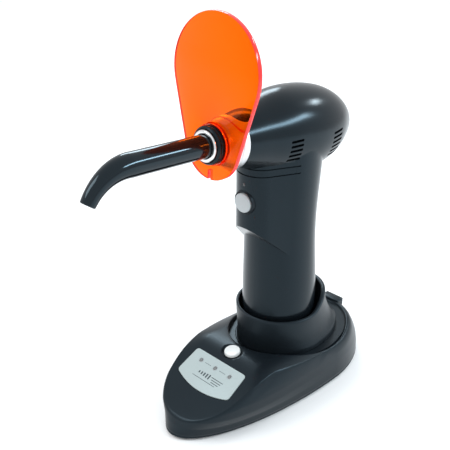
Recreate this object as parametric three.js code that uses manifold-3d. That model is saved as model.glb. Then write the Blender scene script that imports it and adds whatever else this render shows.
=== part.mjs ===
// Curing light: a gun-shaped cordless handpiece standing in its charging base.
// Millimetres, +Z up, front of the object towards -Y. The handle's axis is the line x = 0, y = 0 until the
// whole object is centred on its own footprint at the end.
import * as THREE from "three";
import { mergeVertices } from "three/addons/utils/BufferGeometryUtils.js";
import Module from "manifold-3d";

const wasm = await Module();
wasm.setup();

// ---------------------------------------------------------------- driving dimensions

const GAP = 0.3; // between pieces that touch when assembled
const SHELL_WALL = 2.2; // moulded housings
const FACETS = 28; // round outer sections
const INNER_FACETS = 18; // hidden inner walls
const SMALL_FACETS = 12; // screws, pins and studs

// The barrel's height at the handle's axis drives every height in the upper part of the handle.
const BARREL = { axisZ: 173.24, tilt: THREE.MathUtils.degToRad(4.44), noseStation: 46 };
const GRIP = {
  radius: 23.4, bottom: 13, waist: 3.6, waistFrom: 62, waistTo: BARREL.axisZ - 8.24,
  footTaper: 1.6, footTaperTop: 60,
};
const TRIGGER_HOUSING = {
  halfWidth: 17, front: 34, rear: 15.5, lowerFrontZ: BARREL.axisZ - 54.24, lowerSlope: 0.94,
};
// Head sections: station forward along the barrel from the handle axis, reach above and below the barrel.
const HEAD_SECTIONS = [
  { station: 46, above: 15.2, below: 15.2 },
  { station: 31, above: 19, below: 19 },
  { station: 10, above: 24, below: 24.5 },
  { station: -10, above: 24.2, below: 27.3 },
  { station: -27, above: 21.2, below: 25.2 },
  { station: -40, above: 15.6, below: 19.5 },
  { station: -49, above: 9, below: 14.5 },
  { station: -54.5, above: 2, below: 10.5 },
];
const HEAD_WIDTH_SHARE = 0.97;
const NECK_GROOVE = { width: 0.9, depth: 0.7, stations: [BARREL.axisZ - 20.44, BARREL.axisZ - 16.04] };

const COLLAR = { rearRadius: 16, frontRadius: 12.2, length: 10.6, wall: 2.4 };
const NOSE_RING = { radius: 10.6, length: 7.4 };
const GUIDE = {
  shaftRadius: 6.5, tipRadius: 4, coreWall: 1.2,
  bendRadius: 27, bendAngle: 58, bendStation: 116, tipLength: 2.8,
};
const FERRULE = { radius: 8.8, length: 14, exposed: 1.6, relief: 0.2 };
const CLIP = { wall: 1, length: 1.2, rearStep: 1.2 };
const SHIELD = {
  lowerRadius: 19.6, upperRadius: 30.6, centres: 38.6, thickness: 3, slotWidth: 2.2, runningGap: 0.6,
};

const BUTTON = {
  z: BARREL.axisZ - 37.74, radius: 5.9, proud: 1.9, travel: 1.2,
  bezel: 1.3, bezelDepth: 2.6, capDepth: 2.2, stemDepth: 6.4, stemInset: 2,
};
const STATUS_LENS = { radius: 1, z: BUTTON.z + 11 };
const VENTS = {
  height: 1.5,
  pitch: 2.9,
  groups: [
    { y: -14.6, z: BARREL.axisZ - 11.24, length: 8.4, count: 5 },
    { y: 21, z: BARREL.axisZ - 16.84, length: 10.5, count: 6 },
  ],
};

const CUP = {
  clearance: 2, wall: 2.2, rimRun: 40, rearSpread: 2.4, rimFrontZ: 54.5, rimRearZ: 62.5, floorZ: 8, floor: 3,
};
const CUP_FOOT = { flare: 1.4, rearReach: 50, frontReach: 26.4, bottomZ: 28.6, height: 4.4 };
const GROOVE = { width: 5.2, frontWidth: 8.2, rearWidth: 6.4, wall: 1.4 };
const BASE = { rimLand: 3.2, front: 95.8, rear: 71.3, widestY: 17.4, wall: 2.4, footGap: 1.2 };
// The base's outline level by level: blunter in front towards the rim, drawn in behind.
const BASE_LEVELS = [
  { z: 2, narrower: 0, frontIn: 0, rearIn: 0, bluntness: 1.95 },
  { z: 9, narrower: 0, frontIn: 1.8, rearIn: 0.8, bluntness: 2.2 },
  { z: 15, narrower: 0, frontIn: 4, rearIn: 2.8, bluntness: 2.7 },
  { z: 22, narrower: 0.2, frontIn: 6.6, rearIn: 6.6, bluntness: 3 },
  { z: 29.5, narrower: 0.9, frontIn: 10, rearIn: 12, bluntness: 3 },
  { z: 32.5, narrower: 3.6, frontIn: 14, rearIn: 16, bluntness: 3 },
  { z: 36.5, narrower: 12, frontIn: 24, rearIn: 26, bluntness: 2.6 },
];
// Side profile of the base's upper surface.
const DECK = {
  frontRimZ: 14.2, frontRimY: -92, panelTopY: -52, panelTopZ: 32.9, crestY: -40, crestZ: 36, rearZ: 30.8,
};
const LABEL = {
  topHalfWidth: 20.9, lowHalfWidth: 21.8, topY: -52.4, lowY: -69.6, bulge: 4.4, thickness: 0.9, recess: 0.5,
};
const INDICATOR = { radius: 1.5, spacing: 12.3, y: -57.8, length: 4 };
const SENSOR = { radius: 5, y: -42.9, dimple: 7.2 };
const INLET = {
  width: 11, height: 7.5, depth: 6.1, z: 25.6, rear: 63.2, socketRadius: 2.6, socketDepth: 4.8,
};
const FOOT = { radius: 6, height: 2.2 };
const SCREW = { headRadius: 2.6, headHeight: 1.6, shankRadius: 1.3, length: 7 };

const BATTERY = { radius: 9, length: BARREL.axisZ - 108.24, bottom: 20 };
const BOARD_THICKNESS = 1.6;
const HEAT_SINK = { radius: 13, core: 6, length: 20, fins: 5 };
const FAN = { radius: 10.5, depth: 6, hub: 3.6, blades: 7, station: -12 };
const CONTACT = { radius: 1.6, spacing: 9, travel: 1 };

// ---------------------------------------------------------------- derived dimensions

const HANDLE_BORE = GRIP.radius - SHELL_WALL;
const CUP_BORE = GRIP.radius + CUP.clearance;
const CUP_OUTER = CUP_BORE + CUP.wall;
const CUP_FOOT_HALF = CUP_OUTER + CUP_FOOT.flare;
const BASE_HALF = CUP_FOOT_HALF + GROOVE.width + BASE.rimLand;
const COLLAR_REAR = BARREL.noseStation + GAP;
const COLLAR_FRONT = COLLAR_REAR + COLLAR.length;
const SHIELD_REAR = COLLAR_FRONT + SHIELD.runningGap;
const SHIELD_FRONT = SHIELD_REAR + SHIELD.thickness;
const NOSE_FRONT = COLLAR_FRONT + NOSE_RING.length;
const FERRULE_FRONT = NOSE_FRONT + FERRULE.exposed;
const FERRULE_REAR = FERRULE_FRONT - FERRULE.length;
const CLIP_REAR = FERRULE_REAR + CLIP.rearStep;
const CLIP_OUTER = FERRULE.radius - FERRULE.relief + GAP + CLIP.wall;
const PANEL_SLOPE = Math.atan2(DECK.panelTopZ - DECK.frontRimZ, DECK.panelTopY - DECK.frontRimY);

// ---------------------------------------------------------------- solids

const clamp01 = (v) => Math.min(1, Math.max(0, v));
const smooth = (v) => clamp01(v) ** 2 * (3 - 2 * clamp01(v));
const mix = (a, b, t) => a + (b - a) * t;
const at = (x, y, z) => new THREE.Matrix4().makeTranslation(x, y, z);

// A closed three.js geometry as a manifold solid, faces out.
function solid(geometry, matrix = new THREE.Matrix4()) {
  const bare = new THREE.BufferGeometry();
  const loose = geometry.index ? geometry.toNonIndexed() : geometry;
  bare.setAttribute("position", loose.getAttribute("position").clone());
  bare.applyMatrix4(matrix);
  const merged = mergeVertices(bare, 1e-4);
  const p = merged.attributes.position.array;
  const faces = [];
  let volume = 0;
  for (let i = 0; i < merged.index.count; i += 3) {
    const [a, b, c] = [0, 1, 2].map((k) => merged.index.getX(i + k));
    if (a === b || b === c || c === a) continue;
    faces.push([a, b, c]);
    const [va, vb, vc] = [a, b, c].map((k) => new THREE.Vector3(p[3 * k], p[3 * k + 1], p[3 * k + 2]));
    volume += va.dot(vb.cross(vc));
  }
  const order = volume < 0 ? ([a, b, c]) => [a, c, b] : (f) => f;
  const triVerts = new Uint32Array(faces.flatMap(order));
  return new wasm.Manifold(new wasm.Mesh({ numProp: 3, vertProperties: p, triVerts }));
}

// Skin over rings of equal length, closed at both ends by fans.
function loft(rings, matrix) {
  const triangles = [];
  const push = (...points) => points.forEach((q) => triangles.push(q.x, q.y, q.z));
  const count = rings[0].length;
  for (let r = 0; r + 1 < rings.length; r++) {
    for (let i = 0; i < count; i++) {
      const j = (i + 1) % count;
      push(rings[r][i], rings[r][j], rings[r + 1][j]);
      push(rings[r][i], rings[r + 1][j], rings[r + 1][i]);
    }
  }
  const centre = (ring) => ring.reduce((sum, q) => sum.add(q), new THREE.Vector3()).divideScalar(count);
  const [first, last] = [rings[0], rings[rings.length - 1]];
  const [low, high] = [centre(first), centre(last)];
  for (let i = 0; i < count; i++) {
    const j = (i + 1) % count;
    push(first[j], first[i], low);
    push(last[i], last[j], high);
  }
  const geometry = new THREE.BufferGeometry();
  geometry.setAttribute("position", new THREE.Float32BufferAttribute(triangles, 3));
  return solid(geometry, matrix);
}

// Box between two corners.
function block(low, high, matrix) {
  const size = high.map((v, i) => v - low[i]);
  const middle = high.map((v, i) => (v + low[i]) / 2);
  const place = (matrix ?? new THREE.Matrix4()).clone().multiply(at(...middle));
  return solid(new THREE.BoxGeometry(...size), place);
}

// Turned body about local Z from [radius, height] points, starting and ending on the axis or closing on itself.
function turned(profile, matrix = new THREE.Matrix4(), facets = FACETS) {
  const points = profile.map(([r, h]) => new THREE.Vector2(r, h));
  const upright = new THREE.Matrix4().makeRotationX(Math.PI / 2);
  return solid(new THREE.LatheGeometry(points, facets), matrix.clone().multiply(upright));
}

const rod = (radius, from, to, matrix, facets = FACETS) =>
  turned([[0, from], [radius, from], [radius, to], [0, to]], matrix, facets);

const pipe = (inner, outer, from, to, matrix, facets = FACETS) =>
  turned([[inner, from], [outer, from], [outer, to], [inner, to], [inner, from]], matrix, facets);

// Closed outline in the YZ plane, carried along X.
function sideProfile(points, halfWidth) {
  const shape = new THREE.Shape(points.map(([y, z]) => new THREE.Vector2(y, z)));
  const geometry = new THREE.ExtrudeGeometry(shape, { depth: 2 * halfWidth, bevelEnabled: false, curveSegments: 12 });
  const basis = new THREE.Matrix4().makeBasis(
    new THREE.Vector3(0, 1, 0), new THREE.Vector3(0, 0, 1), new THREE.Vector3(1, 0, 0));
  return solid(geometry, at(-halfWidth, 0, 0).multiply(basis));
}

// Everything on one side of x = 0, up to the parting gap.
function half(body, side) {
  const reach = 200;
  const [low, high] = side > 0 ? [GAP / 2, reach] : [-reach, -GAP / 2];
  return body.intersect(block([low, -reach, -reach], [high, reach, 2 * reach]));
}

function mesh(name, body, material, parent) {
  const { numProp, vertProperties, triVerts, numVert } = body.getMesh();
  const positions = new Float32Array(numVert * 3);
  for (let i = 0; i < numVert; i++) {
    positions.set(vertProperties.subarray(i * numProp, i * numProp + 3), i * 3);
  }
  const geometry = new THREE.BufferGeometry();
  geometry.setAttribute("position", new THREE.BufferAttribute(positions, 3));
  geometry.setIndex(new THREE.BufferAttribute(triVerts, 1));
  geometry.computeVertexNormals();
  const made = new THREE.Mesh(geometry, material);
  made.name = name;
  parent.add(made);
  return made;
}

const finish = (color, roughness, metalness = 0, opacity = 1) =>
  new THREE.MeshStandardMaterial({ color, roughness, metalness, opacity, transparent: opacity < 1 });

const FINISH = {
  blackGloss: finish(0x14171a, 0.25),
  blackSatin: finish(0x1a1d20, 0.45),
  aluminium: finish(0xb9bcc0, 0.3, 1),
  steel: finish(0xc9cbcd, 0.2, 1),
  orange: finish(0xff6a12, 0.08, 0, 0.6),
  silverLabel: finish(0xc4c8ca, 0.45, 0.3),
  greyButton: finish(0xa9aeb0, 0.4),
  white: finish(0xf2f3f2, 0.35),
  rubber: finish(0x1b1b1b, 0.8),
  board: finish(0x1f6b3a, 0.6),
  brass: finish(0xc8a24a, 0.3, 1),
  clear: finish(0xdfe8ee, 0.05, 0, 0.4),
  battery: finish(0x2d6fb0, 0.4),
};

// ---------------------------------------------------------------- shared outlines

// Handle section at a height: round in front, pulled in behind along the waist.
function gripRing(z, inset = 0, facets = FACETS) {
  const waist = Math.sin(Math.PI * clamp01((z - GRIP.waistFrom) / (GRIP.waistTo - GRIP.waistFrom))) ** 2;
  const taper = GRIP.footTaper * (1 - smooth((z - GRIP.bottom) / (GRIP.footTaperTop - GRIP.bottom)));
  const radius = GRIP.radius - taper - inset;
  return Array.from({ length: facets }, (_, i) => {
    const turn = (2 * Math.PI * i) / facets;
    const rear = radius - GRIP.waist * waist;
    const y = Math.sin(turn) * (Math.sin(turn) > 0 ? rear : radius);
    return new THREE.Vector3(Math.cos(turn) * (radius - 0.3 * GRIP.waist * waist), y, z);
  });
}

// Head sections as rings across the barrel axis, in barrel coordinates (x right, y up, z forward).
function headRings(inset = 0, facets = FACETS) {
  const curve = new THREE.CatmullRomCurve3(
    HEAD_SECTIONS.map((s) => new THREE.Vector3(s.station, s.above, s.below)), false, "centripetal");
  const points = curve.getPoints(2 * (HEAD_SECTIONS.length - 1));
  const kept = points.filter((q) => (q.y + q.z) / 2 > inset + 3);
  return kept.map((q, k) => {
    const station = k === kept.length - 1 ? q.x + inset : q.x;
    const centre = (q.y - q.z) / 2;
    const high = (q.y + q.z) / 2 - inset;
    const wide = ((q.y + q.z) / 2) * HEAD_WIDTH_SHARE - inset;
    return Array.from({ length: facets }, (_, i) => {
      const turn = (2 * Math.PI * i) / facets;
      return new THREE.Vector3(Math.cos(turn) * wide, centre + Math.sin(turn) * high, station);
    });
  });
}

// Barrel coordinates: origin on the handle axis, z along the light's path, y up.
const BARREL_FRAME = new THREE.Matrix4()
  .makeBasis(
    new THREE.Vector3(1, 0, 0),
    new THREE.Vector3(0, Math.sin(BARREL.tilt), Math.cos(BARREL.tilt)),
    new THREE.Vector3(0, -Math.cos(BARREL.tilt), Math.sin(BARREL.tilt)))
  .setPosition(0, 0, BARREL.axisZ);

// Egg outline: a superellipse in front of the widest place and an ellipse behind it.
function eggRing(z, halfWidth, front, rear, widestY, power, count = FACETS) {
  return Array.from({ length: count }, (_, i) => {
    const turn = (2 * Math.PI * i) / count;
    const [c, s] = [Math.cos(turn), Math.sin(turn)];
    const share = s < 0 ? 2 / power : 1;
    const x = Math.sign(c) * halfWidth * Math.abs(c) ** share;
    const reach = s < 0 ? front + widestY : rear - widestY;
    return new THREE.Vector3(x, widestY + Math.sign(s) * reach * Math.abs(s) ** share, z);
  });
}

// ---------------------------------------------------------------- handpiece housing

function gripBody(inset, bottom, facets) {
  const top = BARREL.axisZ - 6;
  const levels = 7;
  const rings = Array.from({ length: levels + 1 }, (_, i) => gripRing(mix(bottom, top, i / levels), inset, facets));
  return loft(rings);
}

function headBody(inset, facets) {
  return loft(headRings(inset, facets), BARREL_FRAME);
}

// Bulge in front of the grip that carries the button, cut off below by a sloping plane.
function triggerBody(inset, facets) {
  const [halfWidth, front, rear] = [TRIGGER_HOUSING.halfWidth, TRIGGER_HOUSING.front, TRIGGER_HOUSING.rear];
  const middle = (rear - front) / 2;
  const ring = (z) =>
    Array.from({ length: facets }, (_, i) => {
      const turn = (2 * Math.PI * i) / facets;
      const [x, y] = [Math.cos(turn) * (halfWidth - inset), Math.sin(turn) * ((front + rear) / 2 - inset)];
      return new THREE.Vector3(x, middle + y, z);
    });
  const low = TRIGGER_HOUSING.lowerFrontZ - TRIGGER_HOUSING.lowerSlope * (front + rear);
  const body = loft([ring(low), ring(BARREL.axisZ - 8)]);
  const reach = 80;
  const cutZ = (y) => TRIGGER_HOUSING.lowerFrontZ + inset - TRIGGER_HOUSING.lowerSlope * (y + front);
  const under = sideProfile(
    [[-reach, cutZ(-reach)], [-reach, low - reach], [reach, low - reach], [reach, cutZ(reach)]], reach);
  return body.subtract(under);
}

const ventCuts = () =>
  VENTS.groups.flatMap(({ y, z, length, count }) =>
    Array.from({ length: count }, (_, i) => {
      const middle = z + i * VENTS.pitch;
      return block(
        [-60, y - length / 2, middle - VENTS.height / 2], [60, y + length / 2, middle + VENTS.height / 2]);
    }));

// Two shallow grooves round the neck, open towards the front.
function neckGrooves(outer) {
  const core = housingOuter(NECK_GROOVE.depth);
  const slab = (z) => block([-60, -60, z - NECK_GROOVE.width / 2], [60, 12, z + NECK_GROOVE.width / 2]);
  return NECK_GROOVE.stations.map((z) => outer.intersect(slab(z)).subtract(core));
}

function housingOuter(inset = 0) {
  return gripBody(inset, GRIP.bottom, FACETS).add(headBody(inset, FACETS)).add(triggerBody(inset, FACETS));
}

function housingCavity() {
  return gripBody(SHELL_WALL, GRIP.bottom - 1, INNER_FACETS)
    .add(headBody(SHELL_WALL, INNER_FACETS))
    .add(triggerBody(SHELL_WALL, INNER_FACETS));
}

// Screw posts stand on the left half and are drilled through into the right half.
const HOUSING_SCREWS = [
  { y: 11, z: BARREL.axisZ - 77.24 },
  { y: -16, z: BARREL.axisZ - 61.24 },
  { y: 13, z: BARREL.axisZ - 27.24 },
  { y: 33, z: BARREL.axisZ - 1.24 },
];

function buildHousing(parent) {
  const outer = housingOuter();
  const cavity = housingCavity();
  let shell = outer.subtract(cavity);
  const [noseRadius, noseReach] = [COLLAR.rearRadius - COLLAR.wall - 1.2, 8];
  const noseOpening = rod(
    noseRadius, BARREL.noseStation - noseReach, BARREL.noseStation + noseReach, BARREL_FRAME);
  shell = shell.subtract(noseOpening);
  for (const { y, z } of HOUSING_SCREWS) {
    const across = new THREE.Matrix4().makeRotationY(Math.PI / 2).setPosition(0, y, z);
    const post = rod(SCREW.headRadius + 1.2, -40, 40, across, SMALL_FACETS).intersect(outer);
    shell = shell.add(post);
    const seat = sideReach(outer, y, z) - SCREW.headHeight - GAP;
    shell = shell.subtract(rod(SCREW.headRadius + GAP, -60, -seat, across, SMALL_FACETS));
    shell = shell.subtract(rod(SCREW.shankRadius + GAP, -seat - 1, -seat + SCREW.length + GAP, across, 10));
  }
  for (const cut of ventCuts()) shell = shell.subtract(cut);
  shell = shell.subtract(buttonWell()).subtract(statusWell());
  for (const groove of neckGrooves(outer)) shell = shell.subtract(groove);
  mesh("housing_right", largest(half(shell, 1)), FINISH.blackGloss, parent);
  mesh("housing_left", largest(half(shell, -1)), FINISH.blackGloss, parent);
}

// The main body of a cut, without loose crumbs.
function largest(body) {
  return body.decompose().sort((a, b) => b.volume() - a.volume())[0];
}

// How far the housing reaches to -X at a point of its side.
function sideReach(outer, y, z) {
  const probe = block([-60, y - 0.2, z - 0.2], [0, y + 0.2, z + 0.2]).intersect(outer);
  return -probe.boundingBox().min[0];
}

const buttonAxis = () =>
  new THREE.Matrix4()
    .makeBasis(new THREE.Vector3(1, 0, 0), new THREE.Vector3(0, 0, 1), new THREE.Vector3(0, -1, 0))
    .setPosition(0, 0, BUTTON.z);

// Stepped opening: a seat for the bezel, room for the cap's travel and a passage for the stem.
function buttonWell() {
  const face = TRIGGER_HOUSING.front;
  const capRoom = BUTTON.capDepth + BUTTON.travel + GAP;
  const outside = face + 9;
  return rod(BUTTON.radius + BUTTON.bezel + GAP, face - BUTTON.bezelDepth - GAP, outside, buttonAxis(), 24)
    .add(rod(BUTTON.radius + GAP, face - capRoom, face, buttonAxis(), 24))
    .add(rod(BUTTON.radius - BUTTON.stemInset + GAP, face - 9, face, buttonAxis(), SMALL_FACETS));
}

function statusWell() {
  const axis = buttonAxis().setPosition(0, 0, STATUS_LENS.z);
  return rod(STATUS_LENS.radius + GAP, TRIGGER_HOUSING.front - 9, TRIGGER_HOUSING.front + 9, axis, 16);
}

function buildHousingScrews(parent) {
  const outer = housingOuter();
  HOUSING_SCREWS.forEach(({ y, z }, index) => {
    const seat = sideReach(outer, y, z) - SCREW.headHeight;
    const across = new THREE.Matrix4().makeRotationY(Math.PI / 2).setPosition(-seat - SCREW.headHeight, y, z);
    mesh(`housing_screw_${index + 1}`, screwBody(across), FINISH.steel, parent);
  });
}

// Pan-head screw with a driver slot, head at the origin, shank along +Z.
function screwBody(matrix) {
  const { headRadius, headHeight, shankRadius, length } = SCREW;
  const body = turned(
    [[0, 0], [headRadius, 0], [headRadius, headHeight], [shankRadius, headHeight], [shankRadius, length], [0, length]],
    matrix, 12);
  const slot = 0.35;
  return body.subtract(block([-9, -slot, -1], [9, slot, headHeight / 2], matrix));
}

// ---------------------------------------------------------------- trigger

function buildTrigger(parent) {
  const axis = buttonAxis();
  const face = TRIGGER_HOUSING.front;
  const bore = BUTTON.radius + 0.25;
  const bezel = pipe(bore, BUTTON.radius + BUTTON.bezel, face - BUTTON.bezelDepth, face + 0.6, axis, 24);
  mesh("trigger_bezel", bezel, FINISH.blackSatin, parent);
  const crown = face + BUTTON.proud;
  const capRear = face - BUTTON.capDepth;
  const cap = turned(
    [[0, capRear], [BUTTON.radius, capRear], [BUTTON.radius, crown - 0.7], [BUTTON.radius - 0.8, crown], [0, crown]],
    axis, 24);
  const stem = rod(BUTTON.radius - BUTTON.stemInset, face - BUTTON.stemDepth, capRear + 0.2, axis, SMALL_FACETS);
  mesh("trigger_button", cap.add(stem), FINISH.greyButton, parent);
  const lens = rod(STATUS_LENS.radius, face - 3.4, face + 0.3, buttonAxis().setPosition(0, 0, STATUS_LENS.z), 16);
  mesh("status_lens", lens, FINISH.white, parent);
}

// Plunger face, which the stem reaches at full travel.
const SWITCH_FRONT = TRIGGER_HOUSING.front - BUTTON.stemDepth - BUTTON.travel - GAP;
const DRIVER_BOARD_FRONT = SWITCH_FRONT - 4.4;

function buildDriverBoard(parent) {
  const front = -DRIVER_BOARD_FRONT;
  const halfWidth = TRIGGER_HOUSING.halfWidth - SHELL_WALL - 6.4;
  const z = BUTTON.z;
  const board = block([-halfWidth, front, z - 17.5], [halfWidth, front + BOARD_THICKNESS, z + 16.5]);
  const controller = block([-5, front - 1.4, z + 8.5], [5, front + 0.1, z + 15.5]);
  const converter = block(
    [-4, front + BOARD_THICKNESS - 0.1, z - 14.5], [4, front + BOARD_THICKNESS + 3.4, z - 4.5]);
  mesh("driver_board", board.add(controller).add(converter), FINISH.board, parent);
  const body = block([-4, -SWITCH_FRONT + 1.2, BUTTON.z - 4], [4, front - GAP, BUTTON.z + 4]);
  const plunger = rod(1.8, SWITCH_FRONT - 2, SWITCH_FRONT, buttonAxis(), 16);
  mesh("trigger_switch", body.add(plunger), FINISH.blackSatin, parent);
}

// ---------------------------------------------------------------- battery and handle end

function buildBattery(parent) {
  const top = BATTERY.bottom + BATTERY.length;
  const cell = turned([
    [0, BATTERY.bottom], [BATTERY.radius, BATTERY.bottom], [BATTERY.radius, top - 1], [BATTERY.radius - 1, top],
    [3, top], [3, top + 1.6], [0, top + 1.6],
  ], new THREE.Matrix4(), 24);
  mesh("battery_cell", cell, FINISH.battery, parent);
  const bore = BATTERY.radius + 0.4;
  const tray = pipe(bore, bore + 1.4, BATTERY.bottom + 4, top - 4)
    .subtract(block([-40, -40, 0], [40, -3, top + 9]));
  const ribs = [-1, 1].map((side) =>
    block([side > 0 ? bore + 1 : 1 - HANDLE_BORE + 1.6, -1.4, BATTERY.bottom + 6],
      [side > 0 ? HANDLE_BORE - 2.6 : -bore - 1, 1.4, top - 6]));
  mesh("battery_holder", ribs.reduce((sum, rib) => sum.add(rib), tray), FINISH.blackSatin, parent);
}

const CONTACT_Y = 0;
const contactX = [-CONTACT.spacing / 2, CONTACT.spacing / 2];

// Plug that closes the foot of the handle, with two brass studs that meet the base's pins.
function buildHandleEnd(parent) {
  const bottom = GRIP.bottom;
  const inner = GRIP.radius - GRIP.footTaper - SHELL_WALL - GAP;
  const plug = rod(inner, bottom, bottom + 4.6).subtract(rod(inner - 2, bottom + 2.4, bottom + 9));
  const hole = (x) => rod(CONTACT.radius + 0.2, bottom - 1, bottom + 9, at(x, CONTACT_Y, 0), SMALL_FACETS);
  const holes = contactX.map(hole);
  mesh("handle_end_cap", holes.reduce((sum, hole) => sum.subtract(hole), plug), FINISH.blackSatin, parent);
  contactX.forEach((x, index) => {
    const stud = rod(CONTACT.radius, bottom - 0.1, bottom + 4, at(x, CONTACT_Y, 0), SMALL_FACETS);
    mesh(`handle_contact_${index + 1}`, stud, FINISH.brass, parent);
  });
}

// ---------------------------------------------------------------- light engine

function buildLightEngine(parent) {
  const ledFront = BARREL.noseStation - 3;
  const board = rod(COLLAR.rearRadius - COLLAR.wall - 3, ledFront - 4, ledFront - 2.2, BARREL_FRAME);
  const dome = turned(
    [[0, ledFront - 2.4], [4, ledFront - 2.4], [4, ledFront - 1], [2.8, ledFront + 0.6], [0, ledFront + 1.2]],
    BARREL_FRAME, 24);
  mesh("led_module", board.add(dome), FINISH.white, parent);
  const lensRear = ledFront + 2;
  const lens = turned(
    [[0, lensRear], [6.6, lensRear + 0.6], [7, lensRear + 3], [0, lensRear + 4.6]], BARREL_FRAME, 32);
  mesh("led_lens", lens, FINISH.clear, parent);

  const sinkFront = ledFront - 4 - GAP;
  const sinkRear = sinkFront - HEAT_SINK.length;
  const pitch = (HEAT_SINK.length - 5) / HEAT_SINK.fins;
  const profile = [[0, sinkRear]];
  for (let i = 0; i < HEAT_SINK.fins; i++) {
    const rear = sinkRear + i * pitch;
    const finFront = rear + pitch * 0.4;
    profile.push([HEAT_SINK.radius, rear], [HEAT_SINK.radius, finFront], [HEAT_SINK.core, finFront], [HEAT_SINK.core, rear + pitch]);
  }
  profile.push([HEAT_SINK.radius, sinkFront - 5], [HEAT_SINK.radius - 2.4, sinkFront], [0, sinkFront]);
  const sink = turned(profile, BARREL_FRAME, INNER_FACETS);
  mesh("heat_sink", sink, FINISH.aluminium, parent);

  const fanRear = FAN.station;
  const ring = pipe(FAN.radius, FAN.radius + 2, fanRear, fanRear + FAN.depth, BARREL_FRAME, INNER_FACETS);
  const arms = [0, 1, 2].map((i) => {
    const turned60 = BARREL_FRAME.clone().multiply(new THREE.Matrix4().makeRotationZ((2 * Math.PI * i) / 3));
    return block([-0.9, 0, fanRear], [0.9, FAN.radius + 1, fanRear + 1], turned60);
  });
  const seat = rod(FAN.hub, fanRear, fanRear + 1, BARREL_FRAME, SMALL_FACETS);
  mesh("fan_frame", arms.reduce((sum, arm) => sum.add(arm), ring.add(seat)), FINISH.blackSatin, parent);

  let rotor = rod(FAN.hub, fanRear + 1 + GAP, fanRear + FAN.depth, BARREL_FRAME, SMALL_FACETS);
  for (let i = 0; i < FAN.blades; i++) {
    const turn = new THREE.Matrix4().makeRotationZ((2 * Math.PI * i) / FAN.blades);
    const pitchTurn = new THREE.Matrix4().makeRotationX(0.6).setPosition(0, 0, fanRear + FAN.depth / 2 + 0.7);
    const frame = BARREL_FRAME.clone().multiply(turn).multiply(pitchTurn);
    rotor = rotor.add(block([FAN.hub - 1, -2, -0.4], [FAN.radius - 0.8, 2, 0.4], frame));
  }
  mesh("fan_rotor", rotor, FINISH.blackSatin, parent);
}

// ---------------------------------------------------------------- nose, guide and shield

function buildNose(parent) {
  const spigot = COLLAR.rearRadius - COLLAR.wall - 1.2 - GAP;
  const bore = FERRULE.radius + 0.4;
  const clipSeat = CLIP_OUTER + GAP;
  const collar = turned([
    [bore, COLLAR_FRONT], [COLLAR.frontRadius, COLLAR_FRONT], [COLLAR.rearRadius, COLLAR_REAR],
    [spigot, COLLAR_REAR], [spigot, COLLAR_REAR - 1.6], [spigot - 1.6, COLLAR_REAR - 1.6],
    [bore, COLLAR_FRONT - 6.5], [bore, CLIP_REAR - GAP], [clipSeat, CLIP_REAR - GAP],
    [clipSeat, CLIP_REAR + CLIP.length + GAP], [bore, CLIP_REAR + CLIP.length + GAP], [bore, COLLAR_FRONT],
  ], BARREL_FRAME);
  mesh("nose_collar", collar, FINISH.aluminium, parent);
  const ringRear = COLLAR_FRONT + GAP;
  const nose = turned([
    [bore, ringRear], [NOSE_RING.radius, ringRear], [NOSE_RING.radius, NOSE_FRONT - 0.9],
    [NOSE_RING.radius - 0.9, NOSE_FRONT], [bore, NOSE_FRONT], [bore, ringRear],
  ], BARREL_FRAME);
  mesh("nose_ring", nose, FINISH.blackGloss, parent);
}

// Split spring ring in a groove of the collar: it grips the ferrule, turns with it and lets it pull out.
function buildGuideClip(parent) {
  const front = CLIP_REAR + CLIP.length;
  const ring = pipe(CLIP_OUTER - CLIP.wall, CLIP_OUTER, CLIP_REAR, front, BARREL_FRAME, INNER_FACETS);
  const split = block([-0.7, 0, CLIP_REAR - 1], [0.7, 20, front + 1], BARREL_FRAME);
  mesh("guide_clip_ring", ring.subtract(split), FINISH.steel, parent);
}

// Centre line of the light guide in barrel coordinates: straight, then bent down at the patient's end.
function guidePath(from, tipExtra) {
  const bend = THREE.MathUtils.degToRad(GUIDE.bendAngle);
  const steps = 8;
  const bendPoints = Array.from({ length: steps + 1 }, (_, i) => {
    const turn = (bend * i) / steps;
    const drop = GUIDE.bendRadius * (1 - Math.cos(turn));
    return new THREE.Vector3(0, -drop, GUIDE.bendStation + GUIDE.bendRadius * Math.sin(turn));
  });
  const direction = new THREE.Vector3(0, -Math.sin(bend), Math.cos(bend));
  const tip = bendPoints[steps].clone().addScaledVector(direction, GUIDE.tipLength + tipExtra);
  return [new THREE.Vector3(0, 0, from), new THREE.Vector3(0, 0, GUIDE.bendStation - 6), ...bendPoints, tip];
}

// Round tube along the guide's centre line, its radius tapering over the bend.
function guideTube(from, inset, tipExtra) {
  const points = guidePath(from, tipExtra);
  const last = points.length - 1;
  const rings = points.map((centre, i) => {
    const ahead = points[Math.min(i + 1, last)].clone().sub(points[i === last ? i - 1 : Math.max(i - 1, 0)]);
    ahead.normalize();
    const up = new THREE.Vector3(0, ahead.z, -ahead.y);
    const taper = clamp01((i - 2) / (last - 2));
    const radius = mix(GUIDE.shaftRadius, GUIDE.tipRadius, taper) - inset;
    return Array.from({ length: INNER_FACETS }, (_, k) => {
      const turn = (2 * Math.PI * k) / INNER_FACETS;
      return centre.clone().addScaledVector(up, Math.sin(turn) * radius).setX(Math.cos(turn) * radius);
    });
  });
  return loft(rings, BARREL_FRAME);
}

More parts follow.
